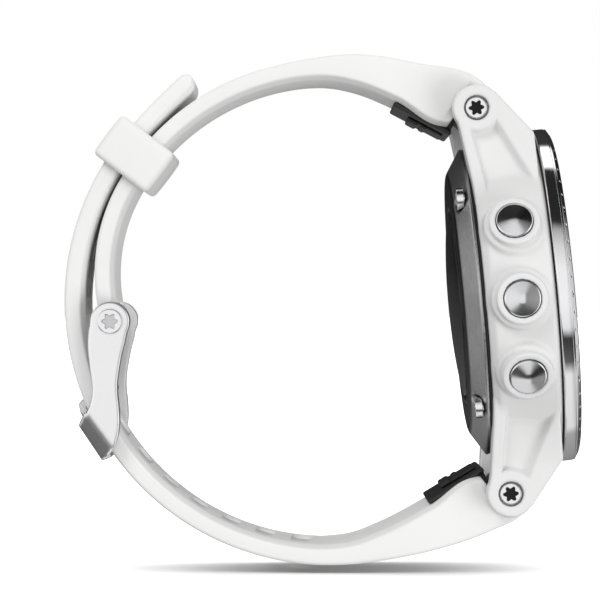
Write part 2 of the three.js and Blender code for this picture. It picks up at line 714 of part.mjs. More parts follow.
piece("buckle_frame", buckleFrame(), brushedSteel, buckle);
piece("buckle_tang", buckleTang(), brushedSteel, buckle);
piece("buckle_bar", rod(BAR_RADIUS, -9.2, 9.2), brushedSteel, buckle);
for (const [label, turn] of [["left", Math.PI], ["right", 0]]) {
  const screw = joined(rod(1.0, 9.35, 11.5), rod(1.55, 11.3, 11.9));
  const star = lobes(0.95, 11.6, 12.5).rotateZ(Math.PI / 2);
  piece(`buckle_${label}_screw`, cut(screw, star), polishedSteel, buckle).rotation.z = turn;
}

export default watch;
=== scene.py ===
# %% [markdown]
# # A GPS sports watch on its buckled strap
#
# A watch like this comes apart into about fifty pieces: a white moulded case with lugs, a polished
# steel bezel, five sprung buttons, a dark rear cover, two halves of a silicone strap, and a pin
# buckle. The engineering model already says where each one is and how it moves. This lesson makes
# the surface that the eye sees for every piece that shows, and gives every finish its own material.
#
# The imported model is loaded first, because every place and every size comes from it.

# %% Load the frame
import json
import math

import bmesh
import bpy
import numpy as np
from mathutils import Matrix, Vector


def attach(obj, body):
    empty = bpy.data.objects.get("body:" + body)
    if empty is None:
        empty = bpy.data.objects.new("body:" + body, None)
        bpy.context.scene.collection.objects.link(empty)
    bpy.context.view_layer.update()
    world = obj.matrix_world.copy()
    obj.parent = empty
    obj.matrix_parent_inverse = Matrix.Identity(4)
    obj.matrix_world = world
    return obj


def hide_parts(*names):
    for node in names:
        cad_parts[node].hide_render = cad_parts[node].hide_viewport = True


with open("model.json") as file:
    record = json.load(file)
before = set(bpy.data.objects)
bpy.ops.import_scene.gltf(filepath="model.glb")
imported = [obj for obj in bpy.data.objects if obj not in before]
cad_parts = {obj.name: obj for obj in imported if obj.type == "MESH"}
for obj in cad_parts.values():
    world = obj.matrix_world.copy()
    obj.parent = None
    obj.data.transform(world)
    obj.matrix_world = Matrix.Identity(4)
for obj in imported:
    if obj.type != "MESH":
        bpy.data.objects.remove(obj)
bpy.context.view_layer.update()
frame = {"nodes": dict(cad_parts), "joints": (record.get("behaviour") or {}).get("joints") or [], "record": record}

# %% [markdown]
# ## Three frames of reference
#
# The watch leans back by about five degrees, so its case has a frame of its own: `a` runs out
# through the dial, `y` runs to the 3 o'clock side and `z` to the 12 o'clock lugs. The strap curls
# round the centre that its keeper slides about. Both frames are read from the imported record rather
# than typed in again, and shapes are worked out in millimetres.

# %% Frames, from the record
MM = 0.001
JOINTS = {joint["name"]: joint for joint in frame["joints"]}
MOUNTS = {mount["name"]: mount for mount in frame["record"]["mounts"]}
LENS_FRONT = 1.55  # how far the lens face stands above the seat of the bezel

DIAL = np.array(MOUNTS["lens_face"]["axis"], float)
TWELVE = np.array([-DIAL[2], 0.0, DIAL[0]])
ACROSS = np.array([0.0, 1.0, 0.0])
SEAT = np.array(MOUNTS["lens_face"]["pos_m"], float) / MM - LENS_FRONT * DIAL
BAND = np.array(JOINTS["keeper_slide"]["pos_m"], float) / MM
BAR = np.array(JOINTS["buckle_swing"]["pos_m"], float) / MM - BAND
LEAN = math.atan2(DIAL[2], DIAL[0])


def from_case(points):
    """Case frame to object frame: the seat, plus each coordinate times its own axis."""
    p = np.asarray(points, float)
    return SEAT + p[..., 0:1] * DIAL + p[..., 1:2] * ACROSS + p[..., 2:3] * TWELVE


def from_band(points):
    """Band frame to object frame: a shift to the centre that the strap curls round."""
    return np.asarray(points, float) + BAND


print("lean", round(math.degrees(LEAN), 2), "degrees; seat", SEAT.round(2), "band", BAND.round(2))

# %% [markdown]
# ## Putting arrays into meshes
#
# Every new piece is an array of points and an array of faces. `foreach_set` hands both to Blender
# at once, which is far quicker than adding vertices one by one. Points that fall together at a
# seam or a pole are merged, so that each piece is closed, and its normals are made to face out.

# %% Mesh helpers
def make_piece(name, points, faces, material, body="root", stands_for=(), smooth=40, paint=None):
    """A mesh object from points in millimetres and an array of quads, merged, closed and shaded.
    Paint is a number for each point that the material may read."""
    mesh = bpy.data.meshes.new(name)
    points = np.asarray(points, np.float64).reshape(-1, 3) * MM
    faces = np.asarray(faces, np.int32)
    mesh.vertices.add(len(points))
    mesh.vertices.foreach_set("co", points.astype(np.float32).ravel())
    sides = faces.shape[1]
    mesh.loops.add(faces.size)
    mesh.loops.foreach_set("vertex_index", faces.ravel())
    mesh.polygons.add(len(faces))
    mesh.polygons.foreach_set("loop_start", np.arange(0, faces.size, sides, dtype=np.int32))
    mesh.update(calc_edges=True)
    if paint is not None:
        layer = mesh.attributes.new("paint", "FLOAT", "POINT")
        layer.data.foreach_set("value", np.asarray(paint, np.float32).ravel())
    build = bmesh.new()
    build.from_mesh(mesh)
    bmesh.ops.remove_doubles(build, verts=build.verts, dist=2e-6)
    bmesh.ops.recalc_face_normals(build, faces=build.faces)
    build.to_mesh(mesh)
    build.free()
    mesh.polygons.foreach_set("use_smooth", np.ones(len(mesh.polygons), bool))
    obj = bpy.data.objects.new(name, mesh)
    bpy.context.scene.collection.objects.link(obj)
    mesh.materials.append(material)
    if smooth:
        mesh.set_sharp_from_angle(angle=math.radians(smooth))
    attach(obj, body)
    if stands_for:
        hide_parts(*stands_for)
    print(f"{name}: {len(mesh.vertices)} points, {len(mesh.polygons)} faces")
    return obj


def grid_faces(rows, columns, wrap_rows=False, wrap_columns=True):
    """Quads between neighbours of a rows x columns grid, which may close on itself either way."""
    i = np.arange(rows if wrap_rows else rows - 1)[:, None]
    j = np.arange(columns if wrap_columns else columns - 1)[None, :]
    i2, j2 = (i + 1) % rows, (j + 1) % columns
    corners = [i * columns + j, i * columns + j2, i2 * columns + j2, i2 * columns + j]
    return np.stack(np.broadcast_arrays(*corners), -1).reshape(-1, 4)


def rounded(corners, radius, steps=4, closed=True):
    """A polyline whose corners are eased: each becomes the quadratic curve
    (1-t)^2 P0 + 2t(1-t) C + t^2 P1 between points one radius before and after the corner C."""
    corners = np.asarray(corners, float)
    radii = np.broadcast_to(np.asarray(radius, float), (len(corners),))
    made = []
    for k, corner in enumerate(corners):
        before, after = corners[k - 1], corners[(k + 1) % len(corners)]
        if radii[k] <= 0 or (not closed and k in (0, len(corners) - 1)):
            made.append(corner[None])
            continue
        to_before, to_after = before - corner, after - corner
        reach_before = min(radii[k], 0.45 * np.linalg.norm(to_before))
        reach_after = min(radii[k], 0.45 * np.linalg.norm(to_after))
        first = corner + to_before / np.linalg.norm(to_before) * reach_before
        last = corner + to_after / np.linalg.norm(to_after) * reach_after
        t = np.linspace(0, 1, steps + 1)[:, None]
        made.append((1 - t) ** 2 * first + 2 * t * (1 - t) * corner + t**2 * last)
    return np.concatenate(made)


def revolve(profile, segments=160, axis_point=(0.0, 0.0)):
    """Points of a solid of revolution in the case frame: (a, r) turned to (a, r cos u, r sin u)."""
    u = np.linspace(0, 2 * np.pi, segments, endpoint=False)
    a, r = np.asarray(profile, float).T
    y = axis_point[0] + r[:, None] * np.cos(u)
    z = axis_point[1] + r[:, None] * np.sin(u)
    return np.stack([np.broadcast_to(a[:, None], y.shape), y, z], -1)


def join_shapes(shapes):
    """Several (points, faces) pairs as one, each one's face numbers moved past the last's points."""
    starts = np.cumsum([0] + [len(p) for p, _ in shapes[:-1]])
    points = np.concatenate([p for p, _ in shapes])
    return points, np.concatenate([f + s for (_, f), s in zip(shapes, starts)])


# %% [markdown]
# ## Carving a solid from a distance field
#
# The case is not a surface of revolution or an extrusion: lugs, collars and pockets run into each
# other with soft fillets. Such a shape is easy to state as a field, a formula that is negative
# inside and positive outside, because joining, cutting and rounding are then one-line sums. The
# surface is found on a grid: each cell that the surface passes through gets one point, and cells
# that share a crossed edge are joined by a quad. Each point is then slid down the field's slope
# until it lies on the surface, which makes the result smooth and exact.

# %% Field helpers
def soft_max(p, q, k):
    """The larger of two fields, with the crease between them rounded over a width k."""
    h = np.clip(0.5 - 0.5 * (q - p) / k, 0, 1)
    return q + (p - q) * h + k * h * (1 - h)


def soft_min(p, q, k):
    """The smaller of two fields, with the corner between them filleted over a width k."""
    return -soft_max(-p, -q, k)


def polygon_field(x, y, corners):
    """Signed distance to a polygon: the nearest edge's distance, negative inside."""
    corners = np.asarray(corners, float)
    nearest = np.full(np.broadcast(x, y).shape, np.inf)
    sign = np.ones_like(nearest)
    for (x0, y0), (x1, y1) in zip(corners, np.roll(corners, 1, axis=0)):
        ex, ey, wx, wy = x1 - x0, y1 - y0, x - x0, y - y0
        t = np.clip((wx * ex + wy * ey) / (ex * ex + ey * ey), 0, 1)
        nearest = np.minimum(nearest, (wx - ex * t) ** 2 + (wy - ey * t) ** 2)
        above, below, left = y >= y0, y < y1, ex * wy > ey * wx
        crossed = (above & below & left) | (~above & ~below & ~left)
        sign = np.where(crossed, -sign, sign)
    return sign * np.sqrt(nearest)


def box_field(x, y, z, half, ease=0.15):
    """Signed distance to a box of the given half sizes with edges rounded by ease."""
    q = [np.abs(c) - h + ease for c, h in zip((x, y, z), half)]
    outside = np.sqrt(sum(np.maximum(c, 0) ** 2 for c in q))
    inside = np.minimum(np.maximum(np.maximum(q[0], q[1]), q[2]), 0)
    return outside + inside - ease


def carve(field, low, high, step):
    """Points and quads of the surface where field is zero, by the surface-net method."""
    axes = [np.arange(lo - step, hi + 2 * step, step) for lo, hi in zip(low, high)]
    value = field(axes[0][:, None, None], axes[1][None, :, None], axes[2][None, None, :])
    value = np.broadcast_to(value, [len(axis) for axis in axes]).astype(np.float32)
    shape = tuple(n - 1 for n in value.shape)
    total = np.zeros(shape + (3,), np.float32)
    count = np.zeros(shape, np.int16)
    for axis in range(3):
        others = [k for k in range(3) if k != axis]
        for s0 in (0, 1):
            for s1 in (0, 1):
                pick = [slice(None)] * 3
                pick[others[0]] = slice(s0, s0 + shape[others[0]])
                pick[others[1]] = slice(s1, s1 + shape[others[1]])
                here = value[tuple(pick)]
                first = np.take(here, range(shape[axis]), axis)
                last = np.take(here, range(1, shape[axis] + 1), axis)
                crossed = (first < 0) != (last < 0)
                where = np.nonzero(crossed)
                total[where + (axis,)] += first[where] / (first[where] - last[where])
                total[where + (others[0],)] += s0
                total[where + (others[1],)] += s1
                count[where] += 1
    cells = np.nonzero(count)
    number = np.full(shape, -1, np.int32)
    number[cells] = np.arange(len(cells[0]))
    points = np.stack(cells, -1) + total[cells] / count[cells][:, None]
    points = points * step + np.array([axis[0] for axis in axes])
    quads = []
    for axis in range(3):
        b, c = [k for k in range(3) if k != axis]
        inner = [slice(1, -1)] * 3
        inner[axis] = slice(0, shape[axis])
        first = value[tuple(inner)]
        shifted = list(inner)
        shifted[axis] = slice(1, shape[axis] + 1)
        last = value[tuple(shifted)]
        where = np.array(np.nonzero((first < 0) != (last < 0)))
        base = where.copy()
        base[b] += 1
        base[c] += 1
        ring = []
        for db, dc in ((0, 0), (1, 0), (1, 1), (0, 1)):
            cell = base.copy()
            cell[b] -= db
            cell[c] -= dc
            ring.append(number[tuple(cell)])
        quads.append(np.stack(ring, -1))
    quads = np.concatenate(quads)
    quads = quads[(quads >= 0).all(1)]
    tiny = 0.02
    for _ in range(4):
        x, y, z = points.T
        here = field(x, y, z)
        slope = np.stack([
            field(x + tiny, y, z) - field(x - tiny, y, z),
            field(x, y + tiny, z) - field(x, y - tiny, z),
            field(x, y, z + tiny) - field(x, y, z - tiny),
        ], -1) / (2 * tiny)
        steep = np.maximum((slope**2).sum(1), 0.2)
        move = -(here / steep)[:, None] * slope
        longest = np.maximum(np.linalg.norm(move, axis=1) / (0.45 * step), 1)
        points = points + move / longest[:, None]
    return points, quads


# %% [markdown]
# ## Materials
#
# Each finish is a Principled shader whose colour, roughness and bump come from small procedural
# patterns: a fine grain for moulded plastic, a softer one for silicone, straight or turned brushing
# for steel. Patterns read Object coordinates, so they stay put when a piece moves, and a Mapping
# node turns them into the case's own frame where a finish runs round the dial.

# %% Material helpers
def new_material(name, colour, roughness, metallic=0.0, **sockets):
    """A Principled material, its node tree and its shader node."""
    material = bpy.data.materials.new(name)
    material.use_nodes = True
    tree = material.node_tree
    shader = tree.nodes["Principled BSDF"]
    shader.inputs["Base Color"].default_value = (*colour, 1)
    shader.inputs["Roughness"].default_value = roughness
    shader.inputs["Metallic"].default_value = metallic
    for socket, value in sockets.items():
        shader.inputs[socket.replace("_", " ")].default_value = value
    return material, tree, shader


def object_place(tree, scale=(1, 1, 1), in_case=False):
    """Object coordinates, or the case's own a, y, z when in_case is set."""
    nodes, links = tree.nodes, tree.links
    place = nodes.new("ShaderNodeTexCoord").outputs["Object"]
    if in_case:
        turn = nodes.new("ShaderNodeMapping")
        turn.vector_type = "TEXTURE"
        turn.inputs["Location"].default_value = tuple(SEAT * MM)
        turn.inputs["Rotation"].default_value = (0, -LEAN, 0)
        links.new(place, turn.inputs["Vector"])
        place = turn.outputs["Vector"]
    sized = nodes.new("ShaderNodeMapping")
    sized.inputs["Scale"].default_value = scale
    links.new(place, sized.inputs["Vector"])
    return sized.outputs["Vector"]


def noise(tree, vector, scale, detail=3.0, roughness=0.55):
    """A noise pattern's grey value; scale counts features per metre."""
    node = tree.nodes.new("ShaderNodeTexNoise")
    node.inputs["Scale"].default_value = scale
    node.inputs["Detail"].default_value = detail
    node.inputs["Roughness"].default_value = roughness
    tree.links.new(vector, node.inputs["Vector"])
    return node.outputs["Fac"]


def spread(tree, value, low, high, start=0.3, end=0.7):
    """Stretches a grey pattern from start..end to low..high."""
    node = tree.nodes.new("ShaderNodeMapRange")
    for socket, number in (("From Min", start), ("From Max", end), ("To Min", low), ("To Max", high)):
        node.inputs[socket].default_value = number
    tree.links.new(value, node.inputs["Value"])
    return node.outputs["Result"]


def tint(tree, value, dark, light):
    """A colour between dark and light, by a grey pattern."""
    node = tree.nodes.new("ShaderNodeMix")
    node.data_type = "RGBA"
    node.inputs["A"].default_value = (*dark, 1)
    node.inputs["B"].default_value = (*light, 1)
    tree.links.new(value, node.inputs["Factor"])
    return node.outputs["Result"]


def bump(tree, shader, height, strength, distance):
    node = tree.nodes.new("ShaderNodeBump")
    node.inputs["Strength"].default_value = strength
    node.inputs["Distance"].default_value = distance
    tree.links.new(height, node.inputs["Height"])
    tree.links.new(node.outputs["Normal"], shader.inputs["Normal"])


def moulded(name, colour, roughness, grain=9000, depth=0.000012, spread_by=0.05, shade=0.03, **sockets):
    """Moulded plastic or rubber: a fine even grain, and a slow drift in colour and gloss."""
    material, tree, shader = new_material(name, colour, roughness, **sockets)
    place = object_place(tree)
    fine = noise(tree, place, grain, 2.0)
    slow = noise(tree, place, 90, 3.0)
    darker = tuple(c * (1 - shade) for c in colour)
    tree.links.new(tint(tree, spread(tree, slow, 0, 1), darker, colour), shader.inputs["Base Color"])
    rough = spread(tree, slow, roughness - spread_by, roughness + spread_by)
    tree.links.new(rough, shader.inputs["Roughness"])
    bump(tree, shader, fine, 0.25, depth)
    return material


def brushed(name, colour, roughness, scale, grain=6000, in_case=False, depth=0.000008, contrast=0.12):
    """Brushed steel: noise stretched along one axis by an uneven scale."""
    material, tree, shader = new_material(name, colour, roughness, 1.0)
    place = object_place(tree, scale, in_case)
    lines = noise(tree, place, grain, 4.0, 0.65)
    darker = tuple(c * (1 - contrast) for c in colour)
    tree.links.new(tint(tree, spread(tree, lines, 0, 1), darker, colour), shader.inputs["Base Color"])
    rough = spread(tree, lines, roughness * 0.8, roughness * 1.25)
    tree.links.new(rough, shader.inputs["Roughness"])
    bump(tree, shader, lines, 0.3, depth)
    return material


# %% Plain finishes
WHITE_CASE = moulded("white_case_polymer", (0.75, 0.75, 0.747), 0.34, grain=11000, Coat_Weight=0.12,
                     Coat_Roughness=0.25)
WHITE_SILICONE = moulded("white_silicone", (0.84, 0.84, 0.835), 0.5, grain=8000, depth=0.00002,
                         Sheen_Weight=0.08)
BLACK_POLYMER = moulded("black_polymer", (0.018, 0.018, 0.019), 0.42, shade=0.3)
BLACK_RUBBER = moulded("black_rubber", (0.012, 0.012, 0.012), 0.6, shade=0.2)
BRUSHED_STEEL = brushed("brushed_steel", (0.56, 0.56, 0.57), 0.34, (0.12, 1, 1), grain=9000)
SATIN_STEEL = brushed("satin_steel", (0.6, 0.6, 0.61), 0.28, (1, 1, 1), grain=16000, contrast=0.08)
POLISHED_STEEL = brushed("polished_steel", (0.8, 0.8, 0.81), 0.09, (1, 0.15, 1), grain=5000,
                         depth=0.000001, contrast=0.04)
print("materials:", len(bpy.data.materials))

# %% [markdown]
# ## The case
#
# One white moulding holds everything: a ring about 8 mm deep, four lugs that flare out of it, and
# a dished collar for each button. The lugs have a shallow three-cornered pocket whose rims die out
# on the ring. All four lugs are the same shape, so the field folds space with absolute values and
# states one of them.

# %% Case dimensions
CASE_BACK = -8.55
CASE_BORE = 17.9
BUTTON_A = -4.3
BUTTON_STEP = 25.5
BUTTON_ANGLES = {
    "light_button": 180 - BUTTON_STEP, "up_button": 180.0, "down_button": 180 + BUTTON_STEP,
    "start_button": BUTTON_STEP, "back_button": -BUTTON_STEP,
}
CAP_RADIUS = 2.22
CAP_TOP = 22.7
COLLAR_TOP = 22.0
PIN_A, PIN_Z = -7.3, 23.75
LUG_INNER, LUG_OUTER = 10.3, 13.9
LUG_SHAPE = [
    (-0.5, 12), (-0.55, 20.1), (-4.9, 25.55), (-10.15, 24.3), (-9.55, 21.2), (-8.7, 14.9), (-8.45, 12),
]
POCKET_REAR = ((-8.35, 21.1), (-7.13, 13.46))
POCKET_FRONT = ((-1.04, 14.67), (-4.07, 20.74))
POCKET_DEPTH = 1.1


def case_ring(a, r):
    """The ring: a slightly tapered drum with a bevel at its front and its back."""
    wall = r - (20.72 + 0.068 * (a + 0.5))
    ring = soft_max(wall, a + 0.1, 0.15)
    ring = soft_max(ring, CASE_BACK - a, 0.15)
    ring = soft_max(ring, (r - 20.3 + (a + 0.1)) / math.sqrt(2), 0.2)
    return soft_max(ring, (r - 19.35 - (a - CASE_BACK)) / math.sqrt(2), 0.2)


def inside_line(a, z, line):
    """Distance to the left of a directed line, so towards the pocket's middle."""
    (a0, z0), (a1, z1) = line
    length = math.hypot(a1 - a0, z1 - z0)
    return ((a1 - a0) * (z - z0) - (z1 - z0) * (a - a0)) / length


def ramp_up(distance, width):
    """0 at an edge, 1 a width further in, with a soft start and end."""
    t = np.clip(distance / width, 0, 1)
    return t * t * (3 - 2 * t)


def case_lugs(a, y, z):
    """One lug in folded space: an outline in a and z, thick in y, that flares as it meets the ring,
    with a pocket between its two rims and its boss."""
    boss = np.hypot(a - PIN_A, z - PIN_Z)
    outline = np.minimum(polygon_field(a, z, LUG_SHAPE), boss - 2.9) + 0.0 * y
    flare = 20.5 - z
    outer = LUG_OUTER + 0.1 * (flare + np.sqrt(flare**2 + 0.8))
    rear, front = inside_line(a, z, POCKET_REAR), inside_line(a, z, POCKET_FRONT)
    sunk = np.minimum(ramp_up(rear, 0.45), ramp_up(front, 1.15))
    sunk = POCKET_DEPTH * np.minimum(sunk, ramp_up(boss - 2.7, 0.6))
    lug = soft_max(outline, y - (outer - sunk), 0.3)
    return soft_max(lug, LUG_INNER - y, 0.2)


def case_collar(a, y, z, degrees):
    """A button's collar and its bore, measured along and across the button's own axis."""
    c, s = math.cos(math.radians(degrees)), math.sin(math.radians(degrees))
    height = y * c + z * s
    reach = np.hypot(a - BUTTON_A, z * c - y * s)
    foot = soft_max(reach - 3.85 + 0.3 * (height - 20.2), height - 21.0, 0.25)
    top = soft_max(reach - 3.12, height - COLLAR_TOP, 0.25)
    collar = soft_max(soft_min(foot, top, 0.25), 18 - height, 0.2)
    bore = soft_max(reach - CAP_RADIUS - 0.1, 20.0 - height, 0.1)
    return collar, bore


def case_field(a, y, z):
    """Ring, lugs and collars joined with fillets, then the bores cut."""
    r = np.hypot(y, z)
    body = soft_min(case_ring(a, r), case_lugs(a, np.abs(y), np.abs(z)), 0.35)
    bores = []
    for degrees in BUTTON_ANGLES.values():
        collar, bore = case_collar(a, y, z, degrees)
        body = soft_min(body, collar, 0.35)
        bores.append(bore)
    for bore in bores:
        body = soft_max(body, -bore, 0.12)
    pin = np.hypot(a - PIN_A, np.abs(z) - PIN_Z)
    body = soft_max(body, -soft_max(pin - 1.55, 12.95 - np.abs(y), 0.1), 0.12)
    body = soft_max(body, 1.2 - pin, 0.1)
    return soft_max(body, CASE_BORE - r, 0.15)


# %% Case shell
CASE_STEP = 0.24
points, quads = carve(case_field, (-10.8, -22.4, -27.0), (0.1, 22.4, 27.0), CASE_STEP)
make_piece("case_body", from_case(points), quads, WHITE_CASE,
           stands_for=("case_shell",), smooth=0)

# %% [markdown]
# ## The bezel
#
# The bezel is a turned steel ring: a mirror-polished band round its side, a fine groove, and a
# front lip that rolls over to the lens. A minute scale is engraved in the lip. Because the surface
# is a grid of two parameters, the profile and the turn, the marks are simply a drop in height
# wherever the turn is close to a multiple of six degrees.

# %% Bezel dimensions and finish
BEZEL_SIDE = rounded([(0.05, 17.3), (0.05, 20.85), (0.2, 21.0), (1.44, 21.0), (1.5, 20.84), (1.62, 20.84),
                      (1.7, 20.95)], [0, 0.1, 0.1, 0.06, 0.04, 0.04, 0], 3, closed=False)
BEZEL_SLOPE = np.column_stack([np.linspace(1.72, 2.12, 9), np.linspace(20.93, 20.28, 9)])
BEZEL_LIP = np.column_stack([np.full(12, 2.2), np.linspace(20.05, 18.7, 12)])
BEZEL_THROAT = np.array([(2.17, 18.5), (1.75, 17.3)])
MARK_DEPTH = 0.08


def bezel_steel():
    """Polished steel whose engraved marks, stored on the points as paint, are filled dark."""
    material, tree, shader = new_material("bezel_steel", (0.82, 0.82, 0.83), 0.07, 1.0)
    place = object_place(tree, (1, 1, 1), in_case=True)
    streaks = noise(tree, place, 2600, 3.0)
    tree.links.new(spread(tree, streaks, 0.05, 0.1), shader.inputs["Roughness"])
    paint = tree.nodes.new("ShaderNodeAttribute")
    paint.attribute_name = "paint"
    colour = tint(tree, paint.outputs["Fac"], (0.8, 0.8, 0.81), (0.02, 0.02, 0.02))
    tree.links.new(colour, shader.inputs["Base Color"])
    bump(tree, shader, streaks, 0.12, 0.0000015)
    return material


def bezel_points():
    """(a, r) profile turned through u, sunk where the minute marks are; also where they are."""
    profile = np.concatenate([BEZEL_SIDE, BEZEL_SLOPE, BEZEL_LIP, BEZEL_THROAT])
    turns = 1440
    grid = revolve(profile, turns)
    degrees = np.arange(turns) * 360 / turns
    minute = np.clip(1.5 - np.abs((degrees + 3) % 6 - 3) / 0.22, 0, 1)
    hour = np.clip(1.5 - np.abs((degrees + 15) % 30 - 15) / 0.7, 0, 1)
    height, radius = profile[:, 0:1], profile[:, 1:2]
    slope = (height > 1.82) & (height < 2.0) & (radius > 20.2)
    outer_lip = (height > 2.19) & (radius < 19.95) & (radius > 19.3)
    whole_lip = (height > 2.19) & (radius < 19.95) & (radius > 18.75)
    paint = np.maximum(minute[None, :] * (slope | outer_lip), hour[None, :] * (slope | whole_lip))
    grid[..., 0] -= MARK_DEPTH * paint
    shrink = 1 - 0.6 * MARK_DEPTH * paint * slope / radius
    grid[..., 1:] *= shrink[..., None]
    return grid, paint


# %% Bezel
grid, paint = bezel_points()
faces = grid_faces(grid.shape[0], grid.shape[1], wrap_rows=True)
make_piece("bezel_ring", from_case(grid), faces, bezel_steel(),
           stands_for=("bezel",), smooth=30, paint=paint)

# %% [markdown]
# ## Buttons
#
# Each button is a turned steel cap whose face is a low cone. Every line from its tip to its rim
# leans one way, so each wedge of the face mirrors its own part of the studio: that is what gives a
# spun cap its bright and dark fans. The five caps are one revolved profile, turned about the dial
# axis to its own place. The distance from the cap's axis is kept as paint, to draw the tool's rings.

# %% Button caps
CAP_PEAK = 0.55
CAP_PROFILE = rounded([
    (17.15, 0.0), (17.15, 0.9), (20.85, 0.9), (20.85, CAP_RADIUS), (CAP_TOP - CAP_PEAK - 0.1, CAP_RADIUS),
    (CAP_TOP - CAP_PEAK, CAP_RADIUS - 0.12), (CAP_TOP - 0.3 * CAP_PEAK, 0.3 * CAP_RADIUS), (CAP_TOP, 0.0),
], [0, 0.05, 0.05, 0.08, 0.06, 0.06, 0, 0], 4, closed=False)


def at_button(along, degrees):
    """Turns points made along +Y, at a distance from the dial axis, to a button's own angle."""
    c, s = math.cos(math.radians(degrees)), math.sin(math.radians(degrees))
    a, y, z = np.moveaxis(along, -1, 0)
    return np.stack([a + BUTTON_A, y * c - z * s, y * s + z * c], -1)


def turned_cap():
    """The cap in its own frame: (height, radius) turned about Y."""
    u = np.linspace(0, 2 * np.pi, 96, endpoint=False)
    height, radius = CAP_PROFILE.T
    x = radius[:, None] * np.cos(u)
    z = radius[:, None] * np.sin(u)
    return np.stack([x, np.broadcast_to(height[:, None], x.shape), z], -1)


def spun_steel():
    """Steel with fine rings left by a turning tool, drawn by noise along the painted radius."""
    material, tree, shader = new_material("cap_steel", (0.72, 0.72, 0.73), 0.15, 1.0)
    radius = tree.nodes.new("ShaderNodeAttribute")
    radius.attribute_name = "paint"
    rings = tree.nodes.new("ShaderNodeTexNoise")
    rings.noise_dimensions = "1D"
    rings.inputs["Scale"].default_value = 18
    tree.links.new(radius.outputs["Fac"], rings.inputs["W"])
    tree.links.new(spread(tree, rings.outputs["Fac"], 0.11, 0.21), shader.inputs["Roughness"])
    shade = tint(tree, spread(tree, rings.outputs["Fac"], 0, 1), (0.66, 0.66, 0.67), (0.76, 0.76, 0.77))
    tree.links.new(shade, shader.inputs["Base Color"])
    bump(tree, shader, rings.outputs["Fac"], 0.15, 0.000004)
    return material


CAP_STEEL = spun_steel()
for node, degrees in BUTTON_ANGLES.items():
    cap = turned_cap()
    radii = np.broadcast_to(CAP_PROFILE[:, 1:2], cap.shape[:2])
    make_piece(node + "_cap", from_case(at_button(cap, degrees)), grid_faces(*cap.shape[:2]), CAP_STEEL,
               body=node + "_body", stands_for=(node,), smooth=25, paint=radii)

# %% [markdown]
# ## Screws
#
# Every screw that shows has a six-lobe driver recess. The head is carved from a field too: a short
# drum with an eased rim, less a star whose radius swells six times round. The recess is painted
# darker than the head, as painted shade.

# %% Screw heads
def screw_field(radius, height, star, depth):
    """A drum along x whose front, at x = 0, has a six-lobed recess."""
    def field(x, y, z):
        r = np.hypot(y, z)
        turn = np.arctan2(z, y)
        drum = soft_max(r - radius, x, 0.18)
        drum = soft_max(drum, -height - x, 0.05)
        lobe = r - star * (0.83 + 0.17 * np.cos(6 * turn))
        return soft_max(drum, -soft_max(lobe, -depth - x, 0.05), 0.06)
    return field


def screw(radius, height, star, depth, step=0.06):
    """Points and faces of a head, and paint that is 1 inside its recess, where the material paints shade."""
    side = radius + 0.1
    field = screw_field(radius, height, star, depth)
    points, quads = carve(field, (-height, -side, -side), (0.1, side, side), step)
    x, y, z = points.T
    lobe = np.hypot(y, z) - star * (0.83 + 0.17 * np.cos(6 * np.arctan2(z, y)))
    return points, quads, ramp_up(-x - 0.04, 0.08) * (lobe < 0.05)


def screw_steel(name, recess):
    """Bright steel, with painted shade in the recess: the recess takes the darker tone given."""
    material, tree, shader = new_material(name, (0.7, 0.7, 0.71), 0.2, 1.0)
    grain = noise(tree, object_place(tree), 9000, 3.0)
    tree.links.new(spread(tree, grain, 0.15, 0.26), shader.inputs["Roughness"])
    paint = tree.nodes.new("ShaderNodeAttribute")
    paint.attribute_name = "paint"
    colour = tint(tree, paint.outputs["Fac"], (0.8, 0.8, 0.81), (recess, recess, recess))
    tree.links.new(colour, shader.inputs["Base Color"])
    bump(tree, shader, grain, 0.2, 0.000002)
    return material


def with_shank(head, radius, length):
    """Adds a turned shank behind a head, whose paint is 0."""
    points, quads, paint = head
    front = points[:, 0].min() + 0.05
    profile = rounded([(-length, 0.0), (-length, radius), (front, radius), (front, 0.0)], [0, 0.1, 0, 0], 3,
                      closed=False)
    u = np.linspace(0, 2 * np.pi, 32, endpoint=False)
    x, r = profile.T
    along = np.broadcast_to(x[:, None], (len(x), 32))
    shank = np.stack([along, r[:, None] * np.cos(u), r[:, None] * np.sin(u)], -1)
    whole, faces = join_shapes([(points, quads), (shank.reshape(-1, 3), grid_faces(*shank.shape[:2]))])
    return whole, faces, np.concatenate([paint, np.zeros(shank.shape[0] * 32)])


# Painted shade in the screw recesses: near black on the lug and cover screws, grey on the buckle screws.
DARK_PAINTED_RECESS_SHADE = screw_steel("screw_steel_painted_recess_shade", 0.02)
PALE_PAINTED_RECESS_SHADE = screw_steel("screw_steel", 0.55)
lug_head = screw(1.33, 0.75, 0.95, 0.6)
for kind, hand, radius, length in (("pin", 1, 0.95, 23.65), ("screw", -1, 0.7, 3.55)):
    points, quads, paint = with_shank(lug_head, radius, length)
    x, y, z = points.T
    for label, side in (("upper", 1), ("lower", -1)):
        placed = np.stack([PIN_A + y, hand * (13.75 + x), side * PIN_Z + z], -1)
        make_piece(f"{label}_lug_{kind}_body", from_case(placed), quads, DARK_PAINTED_RECESS_SHADE,
                   stands_for=(f"{label}_lug_{kind}",), smooth=35, paint=paint)

# %% [markdown]
# ## The rear cover
#
# The cover is dark steel: a flat ring round the sensor, and a conical flank down to the case, with
# four oblique seats where the screws go in. Its colour carries a painted reflection: the flank is
# painted a lighter steel and the flat back dark, for the bright and dark that the two faces mirror.
# One material does both, because the painted tone changes with the depth along the dial axis.

# %% Rear cover
COVER_BACK = -11.2
SCREW_CIRCLE = 18.1
SENSOR_RADIUS = 11.7
PORT_Z = -14.1


